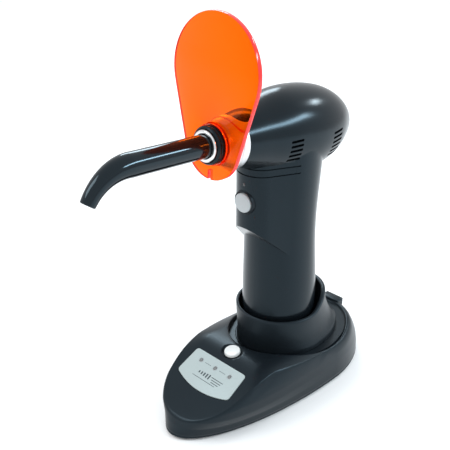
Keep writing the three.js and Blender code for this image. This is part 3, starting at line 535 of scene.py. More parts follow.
@dataclass(frozen=True)
class Wire:
    """A value on the sheet, on which sums are written as Python expressions."""

    sheet: Sheet
    socket: bpy.types.NodeSocket

    def math(self, operation: str, *others: Wire | float, first: float | None = None) -> Wire:
        """Adds one Math node with this value in it.

        Args:
            operation: the operation.
            others: values that follow this one.
            first: value that comes before this one.

        Returns:
            The result.
        """
        values = [self, *others] if first is None else [first, self, *others]
        inputs = {f"in_{i}": v for i, v in enumerate(values)}
        return self.sheet.wire("Math", 0, {"operation": operation}, **inputs)

    def __add__(self, other: Wire | float) -> Wire:
        """Sum."""
        return self.math("ADD", other)

    def __radd__(self, other: float) -> Wire:
        """Sum with a number in front."""
        return self.math("ADD", other)

    def __sub__(self, other: Wire | float) -> Wire:
        """Difference."""
        return self.math("SUBTRACT", other)

    def __rsub__(self, other: float) -> Wire:
        """Difference with a number in front."""
        return self.math("SUBTRACT", first=other)

    def __mul__(self, other: Wire | float) -> Wire:
        """Product."""
        return self.math("MULTIPLY", other)

    def __rmul__(self, other: float) -> Wire:
        """Product with a number in front."""
        return self.math("MULTIPLY", other)

    def above(self, edge: float, softness: float) -> Wire:
        """0 below the edge and 1 above it."""
        return ((self - edge) * (1 / softness) + 0.5).math("MAXIMUM", 0.0).math("MINIMUM", 1.0)


def rgba(colour: Sequence[float]) -> tuple[float, float, float, float]:
    """Colour with full alpha."""
    return (colour[0], colour[1], colour[2], 1.0)


# ---------------------------------------------------------------- finishes


@dataclass(frozen=True)
class Finish:
    """What all finishes share."""

    name: str
    slot: str
    colour: tuple[float, float, float]
    roughness: float = 0.3

    def dress(self, sheet: Sheet) -> Wire:
        """The finish's own shader.

        Args:
            sheet: the sheet to draw on.

        Returns:
            The shader's output.
        """
        raise NotImplementedError

    def material(self) -> bpy.types.Material:
        """The material, made once.

        Returns:
            The material of this name.
        """
        known = bpy.data.materials.get(self.name)
        if known:
            return known
        sheet = Sheet(self.name)
        return sheet.surface(self.dress(sheet))


@dataclass(frozen=True)
class Plastic(Finish):
    """Moulded plastic with slight unevenness, a little dust in its gloss and a fine grain."""

    grain: float = 0.0
    grain_scale: float = 900.0
    specular: float = 0.25
    tint: float = 0.25
    broad_scale: float = 22.0
    fine_scale: float = 420.0
    even_share: float = 0.82
    broad_share: float = 0.24
    fine_share: float = 0.12
    sheen: tuple[float, float, float] = (0.62, 0.85, 1.0)

    def dress(self, sheet: Sheet) -> Wire:
        """Gloss with broad and fine variation.

        Args:
            sheet: the sheet to draw on.

        Returns:
            The shader's output.
        """
        broad = sheet.noise(self.broad_scale, 4.0)
        fine = sheet.noise(self.fine_scale, 2.0)
        lighter = tuple(c * (1 + self.tint) + 0.001 for c in self.colour)
        darker = tuple(c * (1 - self.tint) for c in self.colour)
        colour = sheet.blend(broad, darker, lighter)
        rough = self.roughness * (self.even_share + self.broad_share * broad + self.fine_share * fine)
        inputs: dict[str, object] = {}
        if self.grain:
            inputs["Normal"] = sheet.bump(sheet.noise(self.grain_scale, 3.0), self.grain * MM)
        return sheet.wire(
            "BsdfPrincipled", "BSDF", Base_Color=colour, Roughness=rough,
            Specular_IOR_Level=self.specular, Specular_Tint=rgba(self.sheen), **inputs)


@dataclass(frozen=True)
class Metal(Finish):
    """Turned metal with fine rings along its length."""

    ring_scale: float = 1400.0
    ring_depth: float = 0.004
    ring_stretch: tuple[float, float, float] = (0.02, 1.0, 0.3)
    cloud_scale: float = 60.0

    def dress(self, sheet: Sheet) -> Wire:
        """Fine tool marks across the local length of the piece.

        Args:
            sheet: the sheet to draw on.

        Returns:
            The shader's output.
        """
        marks = sheet.noise(self.ring_scale, 2.0, self.ring_stretch)
        cloud = sheet.noise(self.cloud_scale, 3.0)
        darker = tuple(c * 0.82 for c in self.colour)
        return sheet.wire(
            "BsdfPrincipled", "BSDF", Base_Color=sheet.blend(cloud, darker, self.colour), Metallic=1.0,
            Roughness=self.roughness * (0.75 + 0.5 * marks), Normal=sheet.bump(marks, self.ring_depth * MM))


@dataclass(frozen=True)
class Acrylic(Finish):
    """Clear coloured sheet plastic."""

    # Emission is a painted glow, standing in for light gathered through the sheet; it stays off unless
    # glow_strength is set.
    glow: tuple[float, float, float] = (1.0, 0.08, 0.05)
    glow_strength: float = 0.0
    clarity: float = 1.0
    sheen: tuple[float, float, float] = (1.0, 1.0, 1.0)
    bending: float = 1.36
    cloud_scale: float = 30.0

    def dress(self, sheet: Sheet) -> Wire:
        """Tinted light through the plate, with gloss over it and, where glow_strength is set, a painted
        glow.

        Args:
            sheet: the sheet to draw on.

        Returns:
            The shader's output.
        """
        cloud = sheet.noise(self.cloud_scale, 2.0)
        colour = sheet.blend(cloud, tuple(c * 0.96 for c in self.colour), self.colour)
        return sheet.wire(
            "BsdfPrincipled", "BSDF", Base_Color=colour, Roughness=self.roughness * (0.8 + 0.4 * cloud),
            Transmission_Weight=self.clarity, IOR=self.bending, Specular_Tint=rgba(self.sheen),
            Emission_Color=rgba(self.glow), Emission_Strength=self.glow_strength)


@dataclass(frozen=True)
class Board(Finish):
    """Circuit board with tracks."""

    track_scale: float = 500.0
    track_stretch: tuple[float, float, float] = (1, 0.15, 1)
    track_edge: float = 0.56
    track_softness: float = 0.03
    track_depth: float = 0.03

    def dress(self, sheet: Sheet) -> Wire:
        """Fine lighter tracks on solder mask.

        Args:
            sheet: the sheet to draw on.

        Returns:
            The shader's output.
        """
        tracks = sheet.noise(self.track_scale, 1.0, self.track_stretch)
        tracks = tracks.above(self.track_edge, self.track_softness)
        lighter = tuple(min(1.0, c * 2.2 + 0.02) for c in self.colour)
        return sheet.wire(
            "BsdfPrincipled", "BSDF", Base_Color=sheet.blend(tracks, self.colour, lighter),
            Roughness=self.roughness, Normal=sheet.bump(tracks, self.track_depth * MM))


@dataclass(frozen=True)
class Lamp(Finish):
    """Slightly cloudy moulding of a lamp, a window or a lens."""

    cloud_scale: float = 180.0

    def dress(self, sheet: Sheet) -> Wire:
        """Soft gloss with a faint cloud in its colour.

        Args:
            sheet: the sheet to draw on.

        Returns:
            The shader's output.
        """
        cloud = sheet.noise(self.cloud_scale, 3.0)
        darker = tuple(c * 0.9 for c in self.colour)
        return sheet.wire(
            "BsdfPrincipled", "BSDF", Base_Color=sheet.blend(cloud, darker, self.colour),
            Roughness=self.roughness * (0.85 + 0.3 * cloud))


HOUSING = Plastic("housing_gloss", "housing_black", (0.004, 0.006, 0.008), 0.2, specular=0.27)
BASE_SHELL = Plastic(
    "base_satin", "base_black", (0.005, 0.0075, 0.01), 0.3, grain=0.012, grain_scale=700.0)
CUP_SHELL = Plastic(
    "cup_satin", "base_black", (0.006, 0.0085, 0.011), 0.36, grain=0.014, grain_scale=700.0)
TRIM = Plastic("trim_matt", "trim_black", (0.009, 0.01, 0.012), 0.45, grain=0.01)
NOSE_BLACK = Plastic("nose_gloss", "housing_black", (0.004, 0.005, 0.006), 0.2)
GUIDE_JACKET = Plastic("guide_gloss", "guide_black", (0.002, 0.0025, 0.0035), 0.1, specular=0.4)
RUBBER = Plastic("foot_rubber", "rubber_black", (0.012, 0.012, 0.012), 0.7, grain=0.03)
ALUMINIUM = Metal("turned_aluminium", "collar_aluminium", (0.82, 0.83, 0.85), 0.42)
STEEL = Metal("turned_steel", "steel", (0.78, 0.79, 0.8), 0.16, ring_scale=2200.0)
SCREW_STEEL = Metal("dark_screw", "steel", (0.2, 0.2, 0.21), 0.3, ring_scale=2200.0)
BRASS = Metal("contact_plate", "contact_brass", (0.86, 0.62, 0.25), 0.2)
ORANGE = Acrylic("shield_clear", "shield_orange", (1.0, 0.11, 0.001), 0.015, sheen=(1.0, 0.3, 0.02))
# The shield's cut edges get a painted glow: emission standing in for light gathered through the orange
# sheet.
ORANGE_EDGE_GLOW = Acrylic(
    "shield_edge_painted_glow", "shield_orange", (0.85, 0.02, 0.03), 0.12, glow_strength=0.35, clarity=0.35)
SILVER = Plastic("label_overlay", "label_silver", (0.38, 0.44, 0.44), 0.34, grain=0.006, tint=0.05)
LABEL_INK = Plastic("label_ink", "label_silver", (0.05, 0.06, 0.065), 0.4, tint=0.1)
BUTTON = Plastic("button_silver", "button_grey", (0.40, 0.43, 0.44), 0.34, grain=0.01, tint=0.08)
WHITE = Lamp("white_translucent", "white_plastic", (0.64, 0.66, 0.65), 0.28)
INDICATOR_LENS = Lamp("indicator_smoke", "white_plastic", (0.16, 0.17, 0.17), 0.25)
STATUS = Lamp("status_smoke", "white_plastic", (0.05, 0.055, 0.06), 0.2)
CIRCUIT = Board("circuit_mask", "circuit_green", (0.012, 0.09, 0.035), 0.4)
GLASS = Acrylic("clear_optic", "clear_glass", (0.9, 0.95, 1.0), 0.02)
CELL = Plastic("cell_sleeve", "battery_blue", (0.03, 0.11, 0.3), 0.3)


# ---------------------------------------------------------------- shared frames and outlines


@dataclass(frozen=True)
class Barrel:
    """The line of light through the head."""

    axis_z: float = 173.24
    tilt: float = math.radians(4.44)

    def frame(self) -> Matrix:
        """Local X right, Y up, Z along the light's path.

        Returns:
            The frame, in millimetres.
        """
        up = Vector((0, math.sin(self.tilt), math.cos(self.tilt)))
        ahead = Vector((0, -math.cos(self.tilt), math.sin(self.tilt)))
        made = Matrix((Vector((1, 0, 0)), up, ahead)).transposed().to_4x4()
        made.translation = (0, 0, self.axis_z)
        return made


BARREL = Barrel().frame()


def oval(half_x: float, front: float, rear: float, z: float, count: int) -> Ring:
    """Level outline made of two half ellipses, front towards -Y.

    Args:
        half_x: half its width.
        front: reach towards -Y.
        rear: reach towards +Y.
        z: its height.
        count: points round it.

    Returns:
        The outline.
    """
    ring = []
    for i in range(count):
        turn = TAU * i / count
        reach = rear if math.sin(turn) > 0 else front
        ring.append(Vector((half_x * math.cos(turn), reach * math.sin(turn), z)))
    return ring


# ---------------------------------------------------------------- handpiece


@dataclass
class Housing:
    """The two moulded halves: round grip, trigger housing and egg-shaped head."""

    radius: float = 23.4
    bottom: float = 13.0
    waist: float = 3.6
    waist_from: float = 62.0
    waist_to: float = 165.0
    waist_aside: float = 0.3
    foot_taper: float = 1.6
    foot_taper_top: float = 60.0
    wall: float = 2.2
    seam: float = 0.01
    trigger_nose: float = 14.5
    trigger_front: float = 34.0
    merge: float = 0.12
    step_z: float = 119.0
    step_slope: float = 0.94
    width_share: float = 0.97
    nose_station: float = 46.0
    around: int = 128
    head_sections: tuple[tuple[float, float, float], ...] = (
        (46, 15.2, 15.2), (31, 19, 19), (10, 24, 24.5), (-10, 24.2, 27.3), (-27, 21.2, 25.2),
        (-40, 15.6, 19.5), (-49, 9, 14.5), (-54.5, 2, 10.5), (-56.4, -4.2, 4.2),
    )
    head_steps: int = 9
    grip_steps: int = 70
    foot_round: tuple[tuple[float, float], ...] = ((0, 0.9), (0.25, 0.3))
    foot_soft: float = 0.9
    inner_drop: float = 3.0
    block_steps: int = 30
    block_round: float = 0.9
    flat_back: float = 0.5
    nose_opening: float = 12.4
    vent_rows: tuple[tuple[float, float, float, int], ...] = ((-14.6, 162.0, 8.4, 5), (21.0, 156.4, 10.5, 6))
    vent_pitch: float = 2.9
    vent_half: float = 0.75
    vent_reach: tuple[float, float] = (12.0, 40.0)
    groove_z: tuple[float, ...] = (152.8, 157.2)
    groove_half: float = 0.45
    groove_depth: float = 0.7
    groove_back: float = -9.5

    def waist_share(self, z: float) -> float:
        """How much of the waist there is at a height."""
        return math.sin(math.pi * clamp01((z - self.waist_from) / (self.waist_to - self.waist_from))) ** 2

    def grip_ring(self, z: float, inset: float) -> Ring:
        """Level section of the grip, pulled in behind along the waist.

        Args:
            z: height of the section.
            inset: how far inside the outer surface.

        Returns:
            The outline.
        """
        waist = self.waist_share(z)
        taper = self.foot_taper * (1 - ease((z - self.bottom) / (self.foot_taper_top - self.bottom)))
        radius = self.radius - taper - inset
        half = radius - self.waist_aside * self.waist * waist
        return oval(half, radius, radius - self.waist * waist, z, self.around)

    def grip(self, inset: float) -> bpy.types.Object:
        """Round grip with a softened lower edge.

        Args:
            inset: how far inside the outer surface. 0 is the outer surface itself.

        Returns:
            The solid grip.
        """
        top = BARREL.translation.z - 6
        bottom = self.bottom - (self.inner_drop if inset else 0)
        rings = []
        if not inset:
            rings = [self.grip_ring(bottom + lift, drawn_in) for lift, drawn_in in self.foot_round]
        first = bottom + self.foot_soft
        shares = [i / self.grip_steps for i in range(self.grip_steps + 1)]
        rings += [self.grip_ring(mix(first, top, share), inset) for share in shares]
        return Bench.capped("grip", rings)

    def head(self, inset: float) -> bpy.types.Object:
        """Egg-shaped head along the barrel.

        Args:
            inset: how far inside the outer surface.

        Returns:
            The solid head.
        """
        knots = [Vector(s) for s in self.head_sections]
        line = spline(knots, self.head_steps)
        rings = []
        for point in line:
            radius = (point.y + point.z) / 2 - inset
            if radius <= 0.02:
                continue
            wide = (point.y + point.z) / 2 * self.width_share - inset
            centre = (point.y - point.z) / 2
            rings.append([
                BARREL @ Vector((
                    max(wide, 0.02) * math.cos(TAU * i / self.around),
                    centre + radius * math.sin(TAU * i / self.around), point.x))
                for i in range(self.around)
            ])
        return Bench.capped("head", rings)

    def trigger_section(self, inset: float, z: float) -> Ring:
        """Level section of the trigger housing: an arc in front, straight into the grip's sides.

        Args:
            inset: how far inside the outer surface.
            z: height of the section.

        Returns:
            The outline.
        """
        nose = self.trigger_nose - inset
        grip = self.radius - self.waist_aside * self.waist * self.waist_share(z) - self.merge - inset
        centre = self.trigger_nose - self.trigger_front
        meet = math.acos((grip - nose) / -centre)
        half = self.around // 2
        ring = []
        for i in range(half):
            turn = mix(-meet, meet, i / (half - 1))
            ring.append(Vector((nose * math.sin(turn), centre - nose * math.cos(turn), z)))
        for i in range(half):
            turn = mix(meet, TAU - meet, i / (half - 1))
            back = -grip * math.cos(turn)
            ring.append(Vector((grip * math.sin(turn), back * (self.flat_back if back > 0 else 1.0), z)))
        return ring

    def trigger_block(self, inset: float) -> bpy.types.Object:
        """Bulge in front of the grip, cut off below by a sloping plane.

        Args:
            inset: how far inside the outer surface.

        Returns:
            The solid trigger housing.
        """
        low = self.step_z - self.step_slope * self.trigger_front
        top = BARREL.translation.z - 8
        heights = [mix(low - 9, top, i / self.block_steps) for i in range(self.block_steps + 1)]
        block = Bench.capped("trigger_block", [self.trigger_section(inset, z) for z in heights])
        lift = self.step_z + inset - self.step_slope * self.trigger_front
        Bench.edit(
            block,
            lambda: bpy.ops.mesh.bisect(
                plane_co=(0, 0, lift), plane_no=(0, self.step_slope, 1), use_fill=True,
                clear_inner=True),
        )
        if not inset:
            Bench.bevel(block, self.block_round, 3, 50)
        return block

    def body(self, inset: float) -> bpy.types.Object:
        """Grip, trigger housing and head joined."""
        return Bench.join(self.grip(inset), self.head(inset), self.trigger_block(inset))

    def vents(self) -> list[bpy.types.Object]:
        """Rounded slots through both sides of the head.

        Returns:
            The cutters, one for each slot and side.
        """
        cutters = []
        for y, z, length, count in self.vent_rows:
            for i in range(count):
                for side in Side:
                    low, high = sorted(reach * side.value for reach in self.vent_reach)
                    middle = z + self.vent_pitch * i
                    slot = Bench.block(
                        "vent", (low, y - length / 2, middle - self.vent_half),
                        (high, y + length / 2, middle + self.vent_half))
                    cutters.append(Bench.bevel(slot, 0.6, 3, 80))
        return cutters

    def neck_grooves(self) -> list[bpy.types.Object]:
        """Shallow grooves round the front of the neck.

        Returns:
            The cutters.
        """
        cutters = []
        for z in self.groove_z:
            slab = Bench.block(
                "groove", (-60, -60, z - self.groove_half), (60, self.groove_back, z + self.groove_half))
            cutters.append(Bench.cut(slab, self.body(self.groove_depth)))
        return cutters

    def build(self) -> None:
        """Makes both halves and their screws."""
        shell = self.body(0)
        Bench.cut(shell, *self.neck_grooves())
        Bench.cut(shell, self.body(self.wall))
        Bench.cut(shell, Bench.rod(
            "nose_opening", self.nose_opening, self.nose_station - 8, self.nose_station + 8, BARREL, 96))
        Bench.cut(shell, *self.vents())
        Bench.cut(shell, *Trigger().wells())
        screws = HousingScrews()
        Bench.cut(shell, *screws.wells())
        for side, name in ((Side.RIGHT, "housing_right"), (Side.LEFT, "housing_left")):
            half = Bench.keep_side(Bench.copy(shell, f"{name}_shell"), side, self.seam)
            Bench.settle(half, "handpiece", HOUSING, Shading.MOULDED, [name])
        bpy.data.objects.remove(shell)
        screws.build()


@dataclass
class CrossScrew:
    """Screw with a cross recess, drawn from its head along local Z."""

    head: float = 2.6
    height: float = 1.6
    edge: float = 0.4
    edge_height: float = 0.35
    shank: float = 1.3
    length: float = 7.0
    arm_half: float = 1.5
    arm_side: float = 0.3
    arm_depth: float = 0.8

    def make(self, name: str, place: Matrix, face: float = 0.0) -> bpy.types.Object:
        """Turns the screw and cuts its recess.

        Args:
            name: name of the piece.
            place: frame of the screw, Z pointing into the material.
            face: height of the head's face.

        Returns:
            The screw.
        """
        screw = Bench.turned(name, [
            (0, face), (self.head - self.edge, face), (self.head, face + self.edge_height),
            (self.head, self.height), (self.shank, self.height), (self.shank, self.length),
            (0, self.length)], place, 40)
        for turn in (0, math.pi / 2):
            arm = place @ Matrix.Rotation(turn, 4, "Z")
            Bench.cut(screw, Bench.block(
                "arm", (-self.arm_half, -self.arm_side, -1),
                (self.arm_half, self.arm_side, self.arm_depth), arm))
        return screw


@dataclass
class HousingScrews:
    """Countersunk heads on the left half, with a cross recess."""

    screw: CrossScrew = field(default_factory=CrossScrew)
    sunk: float = 0.1
    play: float = 0.35

    def places(self) -> list[tuple[str, Matrix]]:
        """Each screw's name and its frame, facing out of the left side.

        Returns:
            The four names and frames.
        """
        found = []
        for index in range(1, 5):
            name = f"housing_screw_{index}"
            low, high = cad_box(name)
            place = Matrix.Rotation(math.pi / 2, 4, "Y")
            place.translation = (low.x, (low.y + high.y) / 2, (low.z + high.z) / 2)
            found.append((name, place))
        return found

    def wells(self) -> list[bpy.types.Object]:
        """Round wells that the heads sit in."""
        radius = self.screw.head + self.play
        return [Bench.rod("well", radius, -14, self.screw.height, place, 40) for _, place in self.places()]

    def build(self) -> None:
        """Screws with a cross recess in place of the plain ones."""
        for name, place in self.places():
            screw = self.screw.make(f"{name}_head", place, self.sunk)
            Bench.settle(screw, "handpiece", SCREW_STEEL, Shading.MACHINED, [name])


@dataclass
class Trigger:
    """Round button with its bezel and the small lamp above it."""

    z: float = 135.5
    radius: float = 5.9
    bezel: float = 1.3
    proud: float = 1.9
    face: float = 34.0
    lamp_z: float = 146.5
    lamp_radius: float = 1.0
    play: float = 0.35
    crown_round: float = 0.9
    crown_height: float = 0.75
    stem: float = 3.9

    def axis(self, z: float) -> Matrix:
        """Frame facing out of the trigger housing.

        Args:
            z: height of the frame.

        Returns:
            X across, Y up, Z forwards.
        """
        made = Matrix((Vector((1, 0, 0)), Vector((0, 0, 1)), Vector((0, -1, 0)))).transposed().to_4x4()
        made.translation = (0, 0, z)
        return made

    def wells(self) -> list[bpy.types.Object]:
        """Openings for the bezel, the button and the lamp.

        Returns:
            The cutters.
        """
        here = self.axis(self.z)
        return [
            Bench.rod("bezel_well", self.radius + self.bezel + 0.2, self.face - 3, self.face + 9, here, 96),
            Bench.rod("cap_room", self.radius + self.play, self.face - 4.0, self.face + 9, here, 96),
            Bench.rod("button_well", self.radius - 1.5, self.face - 9, self.face, here, 48),
            Bench.rod(
                "lamp_well", self.lamp_radius + 0.15, self.face - 9, self.face + 9,
                self.axis(self.lamp_z), 40),
        ]

    def build(self) -> None:
        """Bezel, button and lamp."""
        here, face = self.axis(self.z), self.face
        inner, outer = self.radius + 0.25, self.radius + self.bezel
        ring = Bench.turned("bezel_ring", [
            (inner, face - 2.6), (outer, face - 2.6), (outer, face + 0.2), (outer - 0.45, face + 0.6),
            (inner + 0.35, face + 0.6), (inner, face + 0.2)], here)
        Bench.settle(ring, "handpiece", TRIM, Shading.MACHINED, ["trigger_bezel"])
        crown = face + self.proud
        shoulder = crown - self.crown_round
        profile = [(0, face - 6.4), (self.stem, face - 6.4), (self.stem, face - 2.2),
                   (self.radius, face - 2.2), (self.radius, shoulder)]
        for turn in (math.pi / 2 * i / 5 for i in range(1, 6)):
            profile.append((
                self.radius - self.crown_round * (1 - math.cos(turn)),
                shoulder + self.crown_height * math.sin(turn)))
        profile += [(self.radius * 0.6, crown - 0.08), (self.radius * 0.3, crown), (0, crown)]
        button = Bench.turned("button_cap", profile, here)
        Bench.settle(button, "trigger", BUTTON, Shading.MOULDED, ["trigger_button"])
        lamp = Bench.turned(
            "status_lamp", [
                (0, face - 3.4), (self.lamp_radius, face - 3.4), (self.lamp_radius, face),
                (self.lamp_radius - 0.3, face + 0.25), (0, face + 0.3)], self.axis(self.lamp_z), 32)
        Bench.settle(lamp, "handpiece", STATUS, Shading.MOULDED, ["status_lens"])


@dataclass
class Nose:
    """Collar and black ring in front of the head, as (radius, station) sections."""

    collar: Profile = (
        (9.2, 56.9), (12.2, 56.9), (12.9, 55.0), (13.2, 54.7), (14.6, 50.3), (15.2, 49.9), (16, 47.2),
        (16, 46.3), (12.1, 46.3), (12.1, 44.7), (10.5, 44.7), (9.2, 50.4), (9.2, 52.8), (9.9, 52.8),
        (9.9, 54.6), (9.2, 54.6),
    )
    ring: Profile = (
        (9.2, 57.2), (10.6, 57.2), (10.6, 61.7), (10.3, 62.0), (10.3, 62.4), (10.6, 62.7), (10.6, 63.4),
        (9.8, 64.3), (9.2, 64.3),
    )

    def build(self) -> None:
        """Both turned pieces of the nose."""
        collar = Bench.bevel(Bench.turned("collar_cone", self.collar, BARREL, 128), 0.16, 2, 30)
        Bench.settle(collar, "handpiece", ALUMINIUM, Shading.MACHINED, ["nose_collar"])
        ring = Bench.bevel(Bench.turned("nose_black_ring", self.ring, BARREL, 128), 0.14, 2, 25)
        Bench.settle(ring, "handpiece", NOSE_BLACK, Shading.MACHINED, ["nose_ring"])


@dataclass
class LightGuide:
    """Bent, tapering guide with its steel ferrule."""

    shaft: float = 6.5
    tip: float = 4.0
    jacket: float = 1.2
    bend_radius: float = 27.0
    bend: float = math.radians(58)
    bend_station: float = 116.0
    tip_length: float = 2.8
    ferrule_rear: float = 51.9
    ferrule: Profile = (
        (6.7, 51.9), (8.6, 51.9), (8.6, 62.2), (8.8, 62.3), (8.8, 65.2), (8.2, 65.9), (7.0, 65.9),
        (6.7, 65.6),
    )
    tip_taper: float = 0.25
    late_taper: float = 0.35
    shaft_steps: int = 8
    bend_steps: int = 44
    mouth_draw: float = 0.12
    core_play: float = 0.15
    core_sunk: float = 0.35
    around: int = 72

    def line(self, start: float, extra: float) -> list[tuple[Vector, Vector, float]]:
        """Centre line as (point, upward direction, radius) in barrel coordinates.

        Args:
            start: station at which it begins.
            extra: added length at the tip.

        Returns:
            One row for each ring.
        """
        found = []
        for i in range(self.shaft_steps + 1):
            station = mix(start, self.bend_station - 6, i / self.shaft_steps)
            found.append((Vector((0, 0, station)), Vector((0, 1, 0)), self.shaft))
        for i in range(self.bend_steps + 1):
            share = i / self.bend_steps
            turn = self.bend * share
            up = Vector((0, math.cos(turn), math.sin(turn)))
            point = Vector((
                0, -self.bend_radius * (1 - math.cos(turn)),
                self.bend_station + self.bend_radius * math.sin(turn)))
            taper = ease(share) * self.late_taper + (1 - self.late_taper) * share
            found.append((point, up, mix(self.shaft, self.tip + self.tip_taper, taper)))
        ahead = Vector((0, -math.sin(self.bend), math.cos(self.bend)))
        last, up, _ = found[-1]
        found.append((last + ahead * (self.tip_length + extra), up, self.tip))
        return found

    def tube(self, start: float, inset: float, extra: float) -> list[Ring]:
        """Rings of a round tube along the centre line.

        Args:
            start: station at which it begins.
            inset: how far inside the outer surface.
            extra: added length at the tip.

        Returns:
            The rings.
        """
        rings = []
        for point, up, radius in self.line(start, extra):
            flat = circle(radius - inset, 0, self.around)
            rings.append([BARREL @ (point + up * spot.y + Vector((spot.x, 0, 0))) for spot in flat])
        return rings

    def build(self) -> None:
        """Jacket, glass core and ferrule."""
        start = self.ferrule_rear + 0.5
        outer = self.tube(start, 0, 0)
        lip = self.tube(start, 0.35, 0)[-1]
        outer[-1] = [a.lerp(b, self.mouth_draw) for a, b in zip(outer[-1], outer[-2])]
        inner = self.tube(start, self.jacket, 0)
        jacket = Bench.skin("guide_jacket", [*outer, lip, *reversed(inner)], around=True)
        Bench.settle(jacket, "light_guide", GUIDE_JACKET, Shading.MOULDED, ["guide_sheath"])
        core = Bench.capped(
            "guide_glass", self.tube(self.ferrule_rear, self.jacket + self.core_play, -self.core_sunk))
        Bench.settle(core, "light_guide", GLASS, Shading.MOULDED, ["guide_core"])
        ferrule = Bench.bevel(Bench.turned("ferrule_band", self.ferrule, BARREL, 128), 0.1, 2, 30)
        Bench.settle(ferrule, "light_guide", STEEL, Shading.MACHINED, ["guide_ferrule"])


@dataclass
class Shield:
    """Flat orange eye shield with a hole for the nose and a slot at its foot."""

    lower: float = 19.6
    upper: float = 30.6
    centres: float = 38.6
    rear: float = 57.5
    thickness: float = 3.0
    hole: float = 11.2
    slot: float = 2.2
    slot_top: float = 0.72
    edge_round: float = 0.35
    edge_mid: float = 0.1
    face_cosine: float = 0.9
    around: int = 192

    def reach(self, turn: float, inset: float) -> float:
        """Distance of the rim from the barrel in a direction measured from straight up.

        Args:
            turn: direction in radians, from straight up.
            inset: how far inside the rim.

        Returns:
            The distance.
        """
        lower, upper = self.lower - inset, self.upper - inset
        lean = math.acos((self.lower - self.upper) / self.centres)
        inside = upper * upper - (self.centres * math.sin(turn)) ** 2
        if inside > 0 and abs(turn) < math.pi / 2:
            touch = Vector((upper * math.sin(lean), self.centres + upper * math.cos(lean)))
            if math.atan2(touch.x, touch.y) >= abs(turn):
                return self.centres * math.cos(turn) + math.sqrt(inside)
        side = math.cos(abs(turn) - lean)
        if abs(turn) < lean and side > TINY:
            return lower / side
        return lower

    def ring(self, inset: float, height: float) -> Ring:
        """Outline at a height through the plate.

        Args:
            inset: how far inside the rim.
            height: height over the rear face.

        Returns:
            The outline.
        """
        made = []
        for i in range(self.around):
            turn = math.remainder(TAU * i / self.around, TAU)
            far = self.reach(turn, inset)
            made.append(BARREL @ Vector((far * math.sin(turn), far * math.cos(turn), self.rear + height)))
        return made

    def hole_ring(self, grow: float, height: float) -> Ring:
        """Edge of the hole at a height through the plate.

        Args:
            grow: added to the radius.
            height: height over the rear face.

        Returns:
            The outline.
        """
        radius = self.hole + grow
        return [
            BARREL @ Vector((
                radius * math.sin(TAU * i / self.around), radius * math.cos(TAU * i / self.around),
                self.rear + height))
            for i in range(self.around)
        ]

    def build(self) -> None:
        """Plate with rounded edges; its cut edges carry a painted glow."""
        t, r, m = self.thickness, self.edge_round, self.edge_mid
        rim = [(r, 0), (m, m), (0, r), (0, t - r), (m, t - m), (r, t)]
        hole = [rim[0], *reversed(rim[1:])]
        rings = [self.hole_ring(*hole[0]), *(self.ring(*spot) for spot in rim),
                 *(self.hole_ring(*spot) for spot in hole[1:])]
        plate = Bench.skin("shield_plate", rings, around=True)
        Bench.cut(plate, Bench.block(
            "slot", (-self.slot / 2, -self.lower - 5, self.rear - 2),
            (self.slot / 2, -self.lower * self.slot_top, self.rear + t + 2), BARREL))
        Bench.settle(plate, "shield", ORANGE, Shading.MACHINED, ["light_shield"])
        # The side faces take the edge finish with its painted glow.
        plate.data.materials.append(ORANGE_EDGE_GLOW.material())
        ahead = (BARREL.to_3x3() @ Vector((0, 0, 1))).normalized()
        for face in plate.data.polygons:
            if abs(face.normal.dot(ahead)) < self.face_cosine:
                face.material_index = 1


# ---------------------------------------------------------------- charging base


